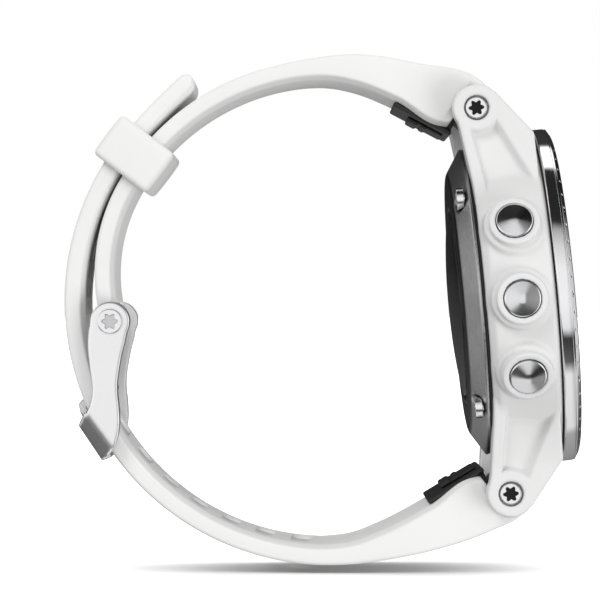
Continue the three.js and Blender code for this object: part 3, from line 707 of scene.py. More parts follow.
def cover_field(a, y, z):
    """A dished ring with a conical flank, four round screw seats and the charging window."""
    r = np.hypot(y, z)
    shell = soft_max(r - 19.4, a + 8.95, 0.1)
    shell = soft_max(shell, COVER_BACK - a, 0.15)
    flank = ((r - 16.25) * 2.0 - (a - COVER_BACK) * 3.15) / math.hypot(2.0, 3.15)
    shell = soft_max(shell, flank, 0.25)
    shell = soft_max(shell, SENSOR_RADIUS + 0.3 - r, 0.12)
    hollow = soft_max(r - 16.6, -10.2 - a, 0.1)
    shell = soft_max(shell, -hollow, 0.1)
    along = np.abs(y) * math.sqrt(0.5) + np.abs(z) * math.sqrt(0.5)
    across = (np.abs(y) - np.abs(z)) * math.sqrt(0.5)
    seat = soft_max(np.hypot(along - SCREW_CIRCLE, across) - 1.62, a + 9.75, 0.08)
    shell = soft_max(shell, -seat, 0.1)
    window = box_field(a - COVER_BACK, y, z - PORT_Z, (2.0, 2.75, 1.4), 0.3)
    return soft_max(shell, -window, 0.1)


def cover_steel_painted_reflection():
    """Brushed steel with a painted reflection: a light tone on the flank, a dark one on the flat back."""
    material, tree, shader = new_material("cover_steel_painted_reflection", (0.3, 0.3, 0.3), 0.35, 1.0)
    place = object_place(tree, (1, 1, 1), in_case=True)
    split = tree.nodes.new("ShaderNodeSeparateXYZ")
    tree.links.new(place, split.inputs["Vector"])
    depth = spread(tree, split.outputs["X"], 0.0, 1.0, (COVER_BACK + 0.12) * MM, (COVER_BACK + 0.3) * MM)
    stretched = object_place(tree, (1, 1, 0.06), in_case=True)
    lines = noise(tree, stretched, 7000, 4.0, 0.7)
    # Painted reflection: dark on the flat back, light on the flank, switched by depth along the dial axis.
    base = tint(tree, depth, (0.045, 0.045, 0.047), (0.5, 0.5, 0.51))
    streak = tint(tree, spread(tree, lines, 0, 1), (0.75, 0.75, 0.75), (1.1, 1.1, 1.1))
    product = tree.nodes.new("ShaderNodeMix")
    product.data_type = "RGBA"
    product.blend_type = "MULTIPLY"
    product.inputs["Factor"].default_value = 1.0
    tree.links.new(base, product.inputs["A"])
    tree.links.new(streak, product.inputs["B"])
    tree.links.new(product.outputs["Result"], shader.inputs["Base Color"])
    tree.links.new(spread(tree, lines, 0.26, 0.42), shader.inputs["Roughness"])
    bump(tree, shader, lines, 0.3, 0.000005)
    return material


COVER_STEEL = cover_steel_painted_reflection()
points, quads = carve(cover_field, (-11.4, -19.6, -19.6), (-8.9, 19.6, 19.6), 0.2)
make_piece("rear_cover_shell", from_case(points), quads, COVER_STEEL,
           stands_for=("rear_cover",), smooth=0)

points, quads, paint = with_shank(screw(1.38, 0.9, 1.0, 0.4), 0.52, 5.1)
x, y, z = points.T
for k, degrees in enumerate((45, 135, 225, 315)):
    c, s = math.cos(math.radians(degrees)), math.sin(math.radians(degrees))
    placed = np.stack([-10.75 - x, SCREW_CIRCLE * c + y, SCREW_CIRCLE * s + z], -1)
    make_piece(f"rear_screw_{k + 1}_body", from_case(placed), quads, DARK_PAINTED_RECESS_SHADE,
               stands_for=(f"rear_screw_{k + 1}",), smooth=35, paint=paint)

# %% [markdown]
# ## Sensor and gasket
#
# Behind the wrist sensor is a black glass dome. The gasket is a thin black ring that shows as a
# line between cover and case.

# %% Sensor dome and gasket
GLOSS_BLACK, tree, shader = new_material("sensor_glass", (0.01, 0.01, 0.012), 0.14, Specular_IOR_Level=0.35)
smudge = noise(tree, object_place(tree), 260, 4.0)
tree.links.new(spread(tree, smudge, 0.1, 0.2), shader.inputs["Roughness"])

dome = rounded([
    (-10.35, 0.0), (-10.35, SENSOR_RADIUS), (COVER_BACK - 0.12, SENSOR_RADIUS), (-11.75, 9.0), (-12.1, 5.0),
    (-12.2, 0.0),
], [0, 0.1, 0.25, 2.4, 2.4, 0], 6, closed=False)
grid = revolve(dome, 128)
make_piece("sensor_dome", from_case(grid), grid_faces(*grid.shape[:2]), GLOSS_BLACK,
           stands_for=("sensor_window",), smooth=50)

gasket = rounded([(-8.9, 17.8), (-8.9, 19.25), (-8.6, 19.25), (-8.6, 17.8)], 0.1, 3)
grid = revolve(gasket, 160)
make_piece("gasket_ring", from_case(grid), grid_faces(*grid.shape[:2], wrap_rows=True), BLACK_RUBBER,
           stands_for=("rear_gasket",), smooth=50)

# %% [markdown]
# ## Lens and dial
#
# The lens is a flat glass disc with a bevelled edge. Under it a dark display carries a plain dial:
# hour bars, minute ticks, four numerals and two hands, each a thin raised shape.

# %% Lens and display
LENS_GLASS, tree, shader = new_material("lens_glass", (0.96, 0.98, 0.98), 0.02, Transmission_Weight=1.0,
                                        IOR=1.45)
smear = noise(tree, object_place(tree), 180, 3.0)
tree.links.new(spread(tree, smear, 0.0, 0.035), shader.inputs["Roughness"])
lens = rounded([(0.45, 0.0), (0.45, 16.8), (1.35, 16.8), (LENS_FRONT, 16.6), (LENS_FRONT, 0.0)],
               [0, 0.1, 0.1, 0.1, 0], 3, closed=False)
grid = revolve(lens, 160)
make_piece("lens_disc", from_case(grid), grid_faces(*grid.shape[:2]), LENS_GLASS,
           stands_for=("lens",), smooth=30)

DISPLAY = moulded("display_face", (0.03, 0.032, 0.036), 0.3, grain=4000, shade=0.25)
INK = moulded("display_ink", (0.72, 0.74, 0.74), 0.4)
face = rounded([(-0.95, 0.0), (-0.95, 16.0), (0.3, 16.0), (0.3, 0.0)], [0, 0.1, 0.1, 0], 3, closed=False)
grid = revolve(face, 128)
make_piece("display_disc", from_case(grid), grid_faces(*grid.shape[:2]), DISPLAY,
           stands_for=("display_panel",), smooth=30)


def dial_bar(name, degrees, inner, outer, width, taper=1.0, height=0.05):
    """A thin bar on the display that points away from the dial's centre, clockwise from 12."""
    c, s = math.cos(math.radians(degrees)), math.sin(math.radians(degrees))
    ends = [(inner, -width / 2), (inner, width / 2), (outer, taper * width / 2), (outer, -taper * width / 2)]
    flat = np.array([(side * c + reach * s, reach * c - side * s) for reach, side in ends])
    low = np.column_stack([np.full(4, 0.3), flat])
    high = np.column_stack([np.full(4, 0.3 + height), flat])
    cube = np.array([(0, 1, 2, 3), (4, 5, 6, 7), (0, 1, 5, 4), (1, 2, 6, 5), (2, 3, 7, 6), (3, 0, 4, 7)])
    return np.concatenate([low, high]), cube


bars = [dial_bar("", 30 * k, 12.2, 14.8, 0.7) for k in range(12) if k % 3]
ticks = [dial_bar("", 6 * k, 14.2, 14.8, 0.16) for k in range(60) if k % 5]
points, faces = join_shapes(bars + ticks)
make_piece("dial_marks", from_case(points), faces, INK, smooth=0)
hands = [dial_bar("", 304, -2.0, 7.6, 0.9, 0.55, 0.09), dial_bar("", 54, -2.4, 11.4, 0.62, 0.45, 0.13)]
points, faces = join_shapes(hands)
make_piece("dial_hands", from_case(points), faces, INK, smooth=0)


def dial_numeral(word, degrees, reach, size):
    """A numeral from Blender's own font, made a mesh and laid on the display."""
    text = bpy.data.curves.new("numeral_" + word, "FONT")
    text.body, text.size, text.extrude = word, size, 0.03
    text.align_x, text.align_y = "CENTER", "CENTER"
    holder = bpy.data.objects.new("numeral_" + word, text)
    flat = holder.to_mesh()
    co = np.zeros(len(flat.vertices) * 3)
    flat.vertices.foreach_get("co", co)
    co = co.reshape(-1, 3)
    turn = math.radians(degrees)
    placed = np.column_stack([
        np.full(len(co), 0.33) + co[:, 2], co[:, 0] + reach * math.sin(turn), co[:, 1] + reach * math.cos(turn)])
    flat.calc_loop_triangles()
    faces = np.zeros(len(flat.loop_triangles) * 3, np.int32)
    flat.loop_triangles.foreach_get("vertices", faces)
    holder.to_mesh_clear()
    bpy.data.objects.remove(holder)
    return placed, faces.reshape(-1, 3)


numerals = [dial_numeral(w, d, 12.0, 4.4) for w, d in (("12", 0), ("3", 90), ("6", 180), ("9", 270))]
points, faces = join_shapes(numerals)
make_piece("dial_numerals", from_case(points), faces, INK, smooth=0)

# %% [markdown]
# ## The strap
#
# Both halves of the strap curl round the band's centre, so each is a sweep in polar form: for every
# angle there is an inner and an outer radius and a width, and the rounded cross-section is carried
# between them. The ends close by shrinking the last few sections to a line.

# %% Strap outline
STRAP_ANGLES = {1: math.radians(33), -1: math.radians(26)}


def from_lug(side, points):
    """Lug frame to object frame: x along the strap, y across, z out of the strap's outer face."""
    p = np.asarray(points, float)
    c, s = math.cos(STRAP_ANGLES[side]), math.sin(STRAP_ANGLES[side])
    along, out = np.array([-c, 0, side * s]), np.array([s, 0, side * c])
    pin = np.array([PIN_A, 0, side * PIN_Z])
    return from_case(pin + p[..., 0:1] * along + p[..., 1:2] * np.array([0, 1, 0]) + p[..., 2:3] * out)


def lug_polar(side, along, out):
    """A point of the lug frame as (degrees, radius) round the band's centre."""
    x, _, z = from_lug(side, np.array([along, 0, out])) - BAND
    return math.degrees(math.atan2(z, x)), math.hypot(x, z)


def half_width(degrees):
    """20 mm wide at the lugs, eased down to 18 mm round the wrist."""
    t = np.clip((np.abs(degrees) - 62) / (116 - 62), 0, 1)
    return 10 - t * t * (3 - 2 * t)


def smooth_curve(knots, at):
    """A smooth radius through (degrees, radius) knots: cubic Hermite with mean slopes."""
    x, y = np.array(sorted(knots)).T
    slope = np.gradient(y, x)
    k = np.clip(np.searchsorted(x, at) - 1, 0, len(x) - 2)
    h = x[k + 1] - x[k]
    t = (at - x[k]) / h
    return ((1 + 2 * t) * (1 - t) ** 2 * y[k] + t * (1 - t) ** 2 * h * slope[k]
            + t * t * (3 - 2 * t) * y[k + 1] + t * t * (t - 1) * h * slope[k + 1])


CURL_START, CURL_SHIFT = 150, 7


def curled(radius, degrees):
    """The inner layer's radius: constant, then along a smaller circle that touches it at 150."""
    turn = np.radians(np.maximum(degrees - CURL_START, 0))
    small = radius - CURL_SHIFT
    curl = CURL_SHIFT * np.cos(turn) + np.sqrt(small**2 - (CURL_SHIFT * np.sin(turn)) ** 2)
    return np.where(degrees > CURL_START, curl, radius)


def section(half, thickness, columns=11):
    """The strap's cross-section as (y, height above the inner face): outer edges are rounded,
    inner edges have a long soft bevel."""
    bevel_in, bevel_up, ease = 1.5, 0.55, 0.5
    corners = np.array([
        (-half + bevel_in, 0), (half - bevel_in, 0), (half, bevel_up), (half, thickness),
        (-half, thickness), (-half, bevel_up),
    ])
    eased = rounded(corners, [0.4, 0.4, 0.3, ease, ease, 0.3], 4)
    return eased


def sweep_strap(degrees, inner, outer, end_round):
    """Carries the section round the band; end_round shrinks it towards its middle at a tip."""
    rows = []
    for angle, low, high, squeeze in zip(degrees, inner, outer, end_round):
        thickness = (high - low) * squeeze
        across = section(half_width(angle) - 0.6 * (1 - squeeze), max(thickness, 0.02))
        start = (low + high) / 2 - thickness / 2
        radius = start + across[:, 1]
        turn = math.radians(angle)
        rows.append(np.column_stack([radius * math.cos(turn), across[:, 0], radius * math.sin(turn)]))
    return np.stack(rows)


def capped(grid):
    """Grid faces of a closed tube, with a fan of quads over each end ring."""
    rows, columns = grid.shape[:2]
    middle_first, middle_last = grid[0].mean(0), grid[-1].mean(0)
    full = np.concatenate([np.repeat(middle_first[None, None], columns, 1), grid,
                           np.repeat(middle_last[None, None], columns, 1)])
    return full, grid_faces(rows + 2, columns)


def rounded_tip(degrees, tip, length):
    """1 along the strap, falling as a quarter ellipse over the last degrees before its tip."""
    t = np.clip(np.abs(degrees - tip) / length, 0, 1)
    return np.sqrt(np.clip(1 - (1 - t) ** 2, 0.0, 1))


# %% Upper strap
upper_outer = [lug_polar(1, -2.1, 1.9), lug_polar(1, 0, 3.2), (70.1, 31.4), (84.0, 30.75), (93, 30.2), (102, 29.9)]
upper_inner = [lug_polar(1, -2.1, -1.0), lug_polar(1, 2.4, -3.6), lug_polar(1, 9.2, -3.6), (83, 27.0), (90, 27.4),
               (97, 27.5)]
lug_end = upper_outer[0][0]
angles = np.concatenate([np.linspace(lug_end, lug_end + 1.5, 6)[:-1], np.linspace(lug_end + 1.5, 184.5, 150),
                         np.linspace(184.5, 188.2, 12)[1:]])
outer = np.where(angles < 102, smooth_curve(upper_outer, np.minimum(angles, 102)), curled(29.9, angles))
inner_knots = sorted([(max(d, lug_end - 3), r) for d, r in upper_inner])
inner = np.where(angles < 97, smooth_curve(inner_knots, np.minimum(angles, 97)), curled(27.5, angles))
tip = np.minimum(rounded_tip(angles, 188.3, 3.6), rounded_tip(angles, lug_end - 0.1, 1.6))
grid = sweep_strap(angles, inner, outer, tip)
full, faces = capped(grid)
upper_strap = make_piece("strap_upper", from_band(full), faces, WHITE_SILICONE,
                         stands_for=("upper_strap",), smooth=60)

# %% Lower strap and its tail
TAIL_TIP = 121.3 - 360
LIFT_ANGLE, LIFT = 138 - 360, 0.9
lower_outer = [lug_polar(-1, -2.1, 1.9), lug_polar(-1, 0, 3.2), (-54.6, 34.85), (-66.96, 33.5), (-78, 32.8),
               (-86, 32.7)]
lower_inner = [lug_polar(-1, -2.1, -1.0), lug_polar(-1, 2.4, -3.6), lug_polar(-1, 9.2, -3.6), (-77.2, 29.2),
               (-84, 29.9), (-91, 30.2)]
lug_end = lower_outer[0][0]
angles = np.concatenate([np.linspace(TAIL_TIP, TAIL_TIP + 2.6, 12)[:-1], np.linspace(TAIL_TIP + 2.6, lug_end - 1.5, 220),
                         np.linspace(lug_end - 1.5, lug_end, 6)[1:]])
outer = np.where(angles > -86, smooth_curve(lower_outer, np.maximum(angles, -86)), 32.7)
inner_knots = [(min(d, lug_end + 3), r) for d, r in lower_inner]
inner = np.where(angles > -91, smooth_curve(inner_knots, np.maximum(angles, -91)), 30.2)
lift = LIFT * (np.maximum(LIFT_ANGLE - angles, 0) / (LIFT_ANGLE - TAIL_TIP)) ** 2
inner, outer = inner + lift, outer + lift
tip = np.minimum(rounded_tip(angles, TAIL_TIP - 0.1, 2.4), rounded_tip(angles, lug_end + 0.1, 1.6))
grid = sweep_strap(angles, inner, outer, tip)
full, faces = capped(grid)
lower_strap = make_piece("strap_lower", from_band(full), faces, WHITE_SILICONE,
                         stands_for=("lower_strap",), smooth=60)

# %% [markdown]
# Holes, the room round the lug pins and the slot for the tang are cut with Boolean modifiers. The
# cutters are closed swept shapes too, and they are removed once the cut is applied.

# %% Cutting the strap
def stadium(length, width, steps=12):
    """Outline of a slot with round ends, in its own plane."""
    t = np.linspace(-np.pi / 2, np.pi / 2, steps)
    right = np.column_stack([(length - width) / 2 + width / 2 * np.cos(t), width / 2 * np.sin(t)])
    return np.concatenate([right, -right])


def prism(outline, low, high):
    """A closed prism over an outline in x and y, between two heights z."""
    rings = [np.column_stack([outline, np.full(len(outline), h)]) for h in (low, high)]
    return capped(np.stack(rings))


def cutter(name, points, faces):
    obj = make_piece(name, points, faces, BLACK_RUBBER, smooth=0)
    return obj


def cut_away(target, tools):
    """Takes each tool out of the target, applies the result and deletes the tools."""
    for tool in tools:
        boolean = target.modifiers.new("cut", "BOOLEAN")
        boolean.operation, boolean.solver, boolean.object = "DIFFERENCE", "EXACT", tool
    bpy.context.view_layer.update()
    result = bpy.data.meshes.new_from_object(target.evaluated_get(bpy.context.evaluated_depsgraph_get()))
    target.modifiers.clear()
    old, target.data = target.data, result
    bpy.data.meshes.remove(old)
    for tool in tools:
        bpy.data.objects.remove(tool)
    print(target.name, "after cutting:", len(target.data.polygons), "faces")


def pin_room(side):
    """The round room that the hook turns in, open towards the strap's inner face."""
    t = np.linspace(math.radians(-42), math.radians(222), 40)
    outline = np.column_stack([2.45 * np.cos(t), 2.45 * np.sin(t)])
    outline = np.concatenate([outline, [(-2.0, -5.4), (2.3, -5.4)]])
    full, faces = prism(outline, -12, 12)
    x, z, y = np.moveaxis(full, -1, 0)
    return cutter("room", from_lug(side, np.stack([x, y, z], -1)), faces)


def band_turn(points, degrees):
    """Stands a shape made in x, y, z at an angle round the band: z becomes the radius."""
    t = math.radians(degrees)
    x, y, z = np.moveaxis(np.asarray(points, float), -1, 0)
    return np.stack([z * math.cos(t) + x * math.sin(t), y, z * math.sin(t) - x * math.cos(t)], -1)


HOLE_PITCH, FIRST_HOLE, HOLES = 8.7, 159.3, 13
tools = [pin_room(-1)]
for k in range(HOLES):
    full, faces = prism(stadium(2.4, 2.0), 28.5, 34.5)
    placed = from_band(band_turn(full, FIRST_HOLE + HOLE_PITCH * k))
    tools.append(cutter("hole", placed, faces))
cut_away(lower_strap, tools)

bar_x, bar_z = BAR[0], BAR[2]
full, faces = prism(np.column_stack([1.05 * np.cos(np.linspace(0, 6.2, 28)), 1.05 * np.sin(np.linspace(0, 6.2, 28))]),
                    -12, 12)
x, z, y = np.moveaxis(full, -1, 0)
bar_bore = cutter("bore", from_band(np.stack([x + bar_x, y, z + bar_z], -1)), faces)
full, faces = prism(np.array([(-3.1, -4), (1.9, -4), (1.9, 2.3), (-3.1, 2.3)]), -1.15, 1.15)
x, z, y = np.moveaxis(full, -1, 0)
tang_slot = cutter("slot", from_band(np.stack([x + bar_x, y, z + bar_z], -1)), faces)
cut_away(upper_strap, [pin_room(1), bar_bore, tang_slot])

# %% [markdown]
# ## The keeper
#
# The keeper is a moulded loop with generous outer roundings: a rounded box less a smaller one,
# stated as a field so that every edge is eased.

# %% Keeper
KEEPER_ANGLE = 142.8
KEEPER_LOW, KEEPER_HIGH = 27.5 - 0.35, 32.7 + 0.35


def keeper_field(x, y, z):
    middle = (KEEPER_LOW + KEEPER_HIGH) / 2
    high = (KEEPER_HIGH - KEEPER_LOW) / 2
    swell = 0.12 * np.clip(1 - (x / 3.1) ** 2, 0, 1)
    outer = box_field(x, y, z - middle, (3.1, 10.9, high + 1.25), 0.75) - swell + 0.12
    inner = box_field(x, y, z - middle, (9.0, 9.62, high), 0.5)
    return soft_max(outer, -inner, 0.35)


points, quads = carve(keeper_field, (-3.3, -11.1, 25.7), (3.3, 11.1, 34.5), 0.2)
make_piece("keeper_loop", from_band(band_turn(points, KEEPER_ANGLE)), quads, WHITE_SILICONE,
           body="keeper_body", stands_for=("keeper",), smooth=0)

# %% [markdown]
# ## The buckle
#
# Two waisted side plates carry a broad crossbar, all in one steel frame that swings on the bar. The
# plates' outline is drawn with a few points and rounded, then given its thickness by the field.

# %% Buckle frame
PLATE_INNER, PLATE_OUTER = 9.4, 11.2


def polar_point(radius, degrees):
    return np.array([radius * math.cos(math.radians(degrees)), radius * math.sin(math.radians(degrees))])


BAR_CORNERS = [polar_point(33.05, 204.4), polar_point(34.55, 206.5), polar_point(34.3, 215.2),
               polar_point(33.05, 215.7)]
PLATE_SHAPE = rounded([
    (-29.35, -2.2), (-29.75, -5.0), (-29.45, -8.0), (-29.0, -11.0), (-29.5, -13.3),
    tuple(BAR_CORNERS[1]), tuple(BAR_CORNERS[2]), (-26.5, -18.6), (-25.75, -16.2), (-25.7, -13.6),
    (-26.1, -10.4), (-25.5, -6.6), (-24.6, -3.4),
], [1.4, 1.4, 1.4, 1.4, 1.4, 0.35, 0.35, 1.0, 1.4, 1.4, 1.4, 1.4, 1.4], 6)
BRIDGE_SHAPE = [tuple(corner) for corner in BAR_CORNERS] + [tuple(polar_point(33.03, 210.0))]
FOLD = ((-29.63, -14.1), (-26.8, -17.9))  # past this line the plate rolls over into the crossbar


def buckle_field(x, y, z):
    """Waisted plates with a boss round the bar, joined by a bridge; both are folded at the ends."""
    side = np.abs(y)
    boss = np.hypot(x - bar_x, z - bar_z) - 2.45
    outline = soft_min(polygon_field(x, z, PLATE_SHAPE[::2]), boss, 0.4)
    plate = soft_max(outline, side - PLATE_OUTER, 0.35)
    plate = soft_max(plate, PLATE_INNER - side, 0.15)
    bridge = soft_max(polygon_field(x, z, BRIDGE_SHAPE), side - PLATE_OUTER + 0.1, 0.3)
    turn = math.radians(204.6)
    along = (x - 34 * math.cos(turn)) * -math.sin(turn) + (z - 34 * math.sin(turn)) * math.cos(turn)
    notch = soft_max(side - 1.05, np.abs(along) - 2.0, 0.1)
    whole = soft_min(plate, soft_max(bridge, -notch, 0.15), 0.25)
    folded = (side - PLATE_OUTER + 0.9 * -inside_line(x, z, FOLD)) / 1.35
    return soft_max(whole, folded, 0.45)


BUCKLE_STEEL = brushed("buckle_steel", (0.96, 0.96, 0.965), 0.33, (1, 1, 1), grain=15000, contrast=0.14,
                       depth=0.00001)
points, quads = carve(buckle_field, (-31.6, -11.4, -20.3), (-24.2, 11.4, -0.0), 0.15)
make_piece("buckle_frame_body", from_band(points), quads, BUCKLE_STEEL, body="buckle_body",
           stands_for=("buckle_frame",), smooth=0)

# %% Buckle screws, bar and tang
head, head_faces, head_paint = screw(1.55, 0.75, 1.0, 0.22)
for label, hand in (("left", -1), ("right", 1)):
    x, y, z = head.T
    placed = np.stack([bar_x + y, hand * (11.75 + x), bar_z + z], -1)
    make_piece(f"buckle_{label}_head", from_band(placed), head_faces, PALE_PAINTED_RECESS_SHADE, body="buckle_body",
               stands_for=(f"buckle_{label}_screw",), smooth=35, paint=head_paint)

TANG_SHAPE = [tuple(polar_point(*p)) for p in (
    (27.0, 188.8), (28.2, 191), (28.5, 199.5), (28.6, 202.6), (29.4, 203.75), (33.2, 203.75), (33.2, 206.8),
    (34.2, 206.6), (34.3, 204.2), (34.1, 202.5), (33.5, 201.85), (29.9, 201.85), (29.5, 200.8),
    (29.5, 190.2), (28.6, 186.3),
)]


def tang_field(x, y, z):
    arm = soft_max(polygon_field(x, z, TANG_SHAPE), np.abs(y) - 0.6, 0.25)
    eye = soft_max(np.hypot(x - bar_x, z - bar_z) - 1.6, np.abs(y) - 0.6, 0.2)
    return soft_max(soft_min(arm, eye, 0.4), 1.05 - np.hypot(x - bar_x, z - bar_z), 0.1)


points, quads = carve(tang_field, (-32.4, -0.8, -15.6), (-25.0, 0.8, -0.6), 0.12)
make_piece("tang_body", from_band(points), quads, SATIN_STEEL, body="tang_body",
           stands_for=("buckle_tang",), smooth=0)

# %% [markdown]
# ## Strap ends
#
# A black link hooks each lug pin, and a latch slides along it: a thin slider with two finger ribs.

# %% Links and latches
LINK_FACE = -3.6


def link_field(x, y, z):
    """A flat tongue under the strap, a neck, and a hook round the pin, open at one side."""
    base = box_field(x - 5.2, y, z - (LINK_FACE - 0.35), (4.0, 8.5, 0.3), 0.2)
    neck = box_field(x - 1.9, y, z - (LINK_FACE + 0.9), (0.5, 7.5, 1.3), 0.1)
    hook = soft_max(np.hypot(x, z) - 2.15, np.abs(y) - 7.5, 0.2)
    body = soft_min(soft_min(base, neck, 0.3), hook, 0.3)
    mouth = box_field(x + 1.1, y, z + 2.2, (1.1, 9.0, 2.0), 0.2)
    body = soft_max(body, 1.2 - np.hypot(x, z), 0.1)
    return soft_max(body, -mouth, 0.2)


def latch_field(x, y, z):
    """A thin slider with a finger bump and a smaller rib."""
    slider = box_field(x - 4.4, y, z - (LINK_FACE - 0.85), (2.4, 4.5, 0.15), 0.1)
    grip = box_field(x - 6.1, y, z - (LINK_FACE - 1.05), (0.65, 4.5, 0.2), 0.18)
    rib = box_field(x - 4.6, y, z - (LINK_FACE - 1.0), (0.3, 4.5, 0.15), 0.12)
    return soft_min(soft_min(slider, grip, 0.3), rib, 0.25)


link_points, link_quads = carve(link_field, (-2.4, -8.7, -4.7), (9.4, 8.7, 2.4), 0.2)
latch_points, latch_quads = carve(latch_field, (1.8, -4.7, -5.2), (7.0, 4.7, -4.1), 0.1)
for label, side in (("upper", 1), ("lower", -1)):
    make_piece(f"{label}_link_body", from_lug(side, link_points), link_quads, BLACK_POLYMER,
               stands_for=(f"{label}_strap_link",), smooth=0)
    make_piece(f"{label}_latch_slider", from_lug(side, latch_points), latch_quads, BLACK_POLYMER,
               body=f"{label}_latch_body", stands_for=(f"{label}_latch",), smooth=0)

# %% [markdown]
# ## Pieces that stay as the engineering model made them
#
# Shafts, boards, the battery and other inner pieces have the right shape already. They only need a
# finish, picked by the record's own material slots.

# %% Finishes for carried-over nodes
BOARD = moulded("circuit_board", (0.02, 0.12, 0.06), 0.45, shade=0.3)
FOIL = brushed("battery_foil", (0.62, 0.63, 0.64), 0.32, (1, 0.1, 1), grain=1500)
COPPER = brushed("copper_film", (0.72, 0.42, 0.22), 0.3, (1, 1, 0.2), grain=3000)
SLOT_FINISH = {
    "white_case": WHITE_CASE, "white_silicone": WHITE_SILICONE, "polished_steel": POLISHED_STEEL,
    "brushed_steel": BRUSHED_STEEL, "dark_steel": COVER_STEEL, "black_polymer": BLACK_POLYMER,
    "black_rubber": BLACK_RUBBER, "lens_glass": LENS_GLASS, "display_glass": GLOSS_BLACK,
    "circuit_board": BOARD, "battery_wrap": FOIL, "copper": COPPER,
}
for part in frame["record"]["subparts"]:
    node = frame["nodes"][part["node"]]
    node.data.materials.clear()
    node.data.materials.append(SLOT_FINISH[part["material_slot"]])

# %% [markdown]
# ## Floor, light and camera
#
# The watch stands over a plain pale floor in a white studio. Polished steel only looks like steel if
# it has something bright and something dark to mirror. The studio is therefore a set of long soft
# strips that run from left to right: a wide white one behind the camera, black gaps above and below
# it, and a narrower white one overhead. The camera itself sees plain white instead, and diffuse
# surfaces get an even light, so the strips shape the steel and leave the white strap alone.
#
# Two soft lamps shape the white pieces: a key from the upper left, and a fill from the lower right
# that the floor doesn't block. A wide overhead light belongs to the floor alone. Only the lower
# strap shades it, and the floor lies 1 mm lower than the watch, which gives one soft pool of shadow.

# %% Floor
def floor_material():
    material, tree, shader = new_material("floor_white", (0.4, 0.4, 0.4), 0.8)
    faint = noise(tree, object_place(tree), 12, 2.0)
    tree.links.new(spread(tree, faint, 0.75, 0.85), shader.inputs["Roughness"])
    return material


FLOOR_REACH = 6.0
mesh = bpy.data.meshes.new("floor")
corners = [(-FLOOR_REACH, -FLOOR_REACH, 0), (FLOOR_REACH, -FLOOR_REACH, 0), (FLOOR_REACH, FLOOR_REACH, 0),
           (-FLOOR_REACH, FLOOR_REACH, 0)]
mesh.from_pydata(corners, [], [(0, 1, 2, 3)])
FLOOR_DROP = 0.001
floor = bpy.data.objects.new("floor", mesh)
floor.location.z = -FLOOR_DROP
floor.visible_diffuse = False
floor.visible_glossy = False
floor_group = bpy.data.collections.new("floor_group")
bpy.context.scene.collection.children.link(floor_group)
floor_group.objects.link(floor)
mesh.materials.append(floor_material())

# %% Studio strips
STRIPS = [  # degrees up from behind the camera, over the top, against brightness
    (-180, 0.05), (-168, 0.3), (-112, 0.55), (-104, 1.1), (-56, 1.2), (-47, 0.16), (-29, 0.05),
    (-23, 1.2), (-5, 1.35), (18, 1.3), (34, 1.0), (45, 0.6), (51, 0.03), (96, 0.03), (100, 2.0),
    (122, 2.0), (127, 0.05), (180, 0.04),
]
DIFFUSE_STRENGTH = 0.9


def math_node(tree, operation, *values):
    node = tree.nodes.new("ShaderNodeMath")
    node.operation = operation
    for socket, value in zip(node.inputs, values):
        if isinstance(value, (int, float)):
            socket.default_value = value
        else:
            tree.links.new(value, socket)
    return node.outputs["Value"]


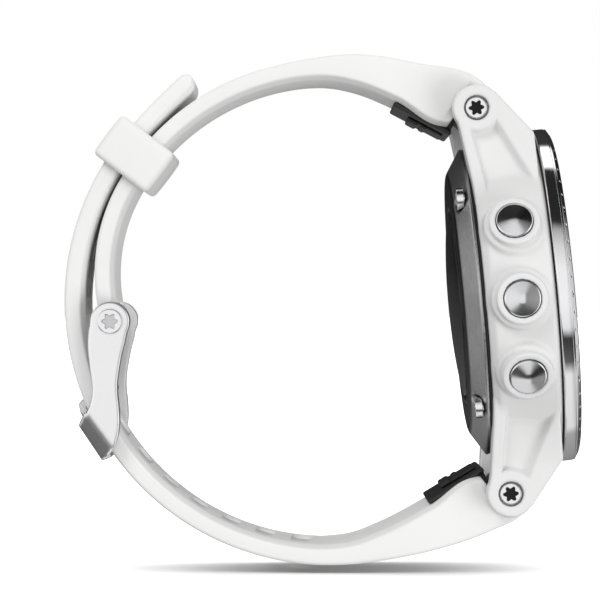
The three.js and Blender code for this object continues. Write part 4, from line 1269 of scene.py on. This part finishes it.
def studio_world():
    """A world whose brightness depends on the turn about the left-right axis."""
    world = bpy.data.worlds.new("studio")
    world.use_nodes = True
    tree = world.node_tree
    tree.nodes.clear()
    way = tree.nodes.new("ShaderNodeSeparateXYZ")
    tree.links.new(tree.nodes.new("ShaderNodeTexCoord").outputs["Generated"], way.inputs["Vector"])
    forward = math_node(tree, "MULTIPLY", way.outputs["Y"], -1.0)
    turn = math_node(tree, "ARCTAN2", way.outputs["Z"], forward)
    ramp = tree.nodes.new("ShaderNodeValToRGB")
    elements = ramp.color_ramp.elements
    while len(elements) < len(STRIPS):
        elements.new(0.5)
    for element, (degrees, grey) in zip(elements, STRIPS):
        element.position = (degrees + 180) / 360
        element.color = (grey, grey, grey, 1)
    tree.links.new(math_node(tree, "MULTIPLY_ADD", turn, 0.5 / math.pi, 0.5), ramp.inputs["Fac"])
    x, z = way.outputs["X"], way.outputs["Z"]
    gap_start, gap_end = spread(tree, x, 0, 0.65, 0.2, 0.38), spread(tree, x, 0, 0.65, 0.6, 0.75)
    gap_right = math_node(tree, "SUBTRACT", gap_start, gap_end)
    low = spread(tree, z, 0, 1, -0.25, -0.45)
    gap_left = math_node(tree, "MULTIPLY", spread(tree, x, 0, 0.94, -0.55, -0.7), low)
    open_part = math_node(tree, "SUBTRACT", math_node(tree, "SUBTRACT", 1.0, gap_right), gap_left)
    sides = math_node(tree, "ADD", spread(tree, x, 0, 0.9, 0.72, 0.85), math_node(
        tree, "MULTIPLY", spread(tree, x, 0, 0.45, -0.7, -0.85), math_node(tree, "SUBTRACT", 1.0, low)))
    mirrored = math_node(tree, "MULTIPLY_ADD", ramp.outputs["Color"], open_part, sides)
    soft = math_node(tree, "MULTIPLY_ADD", z, 0.22, 0.5)
    soft = math_node(tree, "MULTIPLY_ADD", math_node(tree, "ABSOLUTE", way.outputs["Y"]), 0.55, soft)
    rays = tree.nodes.new("ShaderNodeLightPath")
    strength = tree.nodes.new("ShaderNodeMix")
    tree.links.new(rays.outputs["Is Diffuse Ray"], strength.inputs["Factor"])
    tree.links.new(mirrored, strength.inputs["A"])
    tree.links.new(math_node(tree, "MULTIPLY", soft, DIFFUSE_STRENGTH), strength.inputs["B"])
    strips = tree.nodes.new("ShaderNodeBackground")
    tree.links.new(strength.outputs["Result"], strips.inputs["Strength"])
    seen = tree.nodes.new("ShaderNodeBackground")
    seen.inputs["Color"].default_value = (1, 1, 1, 1)
    choose = tree.nodes.new("ShaderNodeMixShader")
    tree.links.new(rays.outputs["Is Camera Ray"], choose.inputs["Fac"])
    tree.links.new(strips.outputs["Background"], choose.inputs[1])
    tree.links.new(seen.outputs["Background"], choose.inputs[2])
    out = tree.nodes.new("ShaderNodeOutputWorld")
    tree.links.new(choose.outputs["Shader"], out.inputs["Surface"])
    return world


bpy.context.scene.world = studio_world()


# %% Lamps
def aimed(name, data, place, target=(0.0, 0.0, 0.032)):
    """A lamp at a place, turned to face a target."""
    lamp = bpy.data.objects.new(name, data)
    lamp.location = place
    lamp.rotation_mode = "QUATERNION"
    lamp.rotation_quaternion = (Vector(target) - Vector(place)).to_track_quat("-Z", "Y")
    bpy.context.scene.collection.objects.link(lamp)
    return lamp


def soft_light(name, place, size, power):
    """A round area lamp that polished pieces don't mirror."""
    data = bpy.data.lights.new(name, "AREA")
    data.shape, data.size, data.energy = "DISK", size, power
    lamp = aimed(name, data, place)
    lamp.visible_glossy = False
    return lamp


key = soft_light("key_upper_left", (-0.3, -0.38, 0.5), 0.3, 1.6)
fill = soft_light("fill_low_right", (0.3, -0.3, -0.12), 0.3, 0.95)
not_floor = bpy.data.collections.new("not_floor")
not_floor.objects.link(floor)
not_floor.collection_objects[0].light_linking.link_state = "EXCLUDE"
key.light_linking.receiver_collection = not_floor
fill.light_linking.receiver_collection = not_floor
fill.light_linking.blocker_collection = not_floor
FLOOR_POWER, FLOOR_SPREAD = 9.8, 150  # spread in degrees: wide enough to leave only a contact shadow
overhead = bpy.data.lights.new("floor_light", "SUN")
overhead.energy = FLOOR_POWER
overhead.angle = math.radians(FLOOR_SPREAD)
floor_light = aimed("floor_light", overhead, (0.0, 0.1, 0.6), (0.0, 0.0, 0.0))
floor_light.light_linking.receiver_collection = floor_group
band_group = bpy.data.collections.new("band_group")
band_group.objects.link(bpy.data.objects["strap_lower"])
floor_light.light_linking.blocker_collection = band_group
print("lamps:", key.name, fill.name, floor_light.name)

# %% Camera
CAMERA_DISTANCE, LENS = 420.0, 199.1
camera_data = bpy.data.cameras.new("camera")
camera_data.sensor_width = 36.0
camera_data.lens = LENS
camera = bpy.data.objects.new("camera", camera_data)
camera.location = Vector((-2.9, BAND[1] - CAMERA_DISTANCE, 32.85)) * MM
camera.rotation_euler = (math.pi / 2, 0, 0)
bpy.context.scene.collection.objects.link(camera)
bpy.context.scene.camera = camera
bpy.context.scene.view_settings.view_transform = "Standard"
print("camera at", [round(c, 4) for c in camera.location])
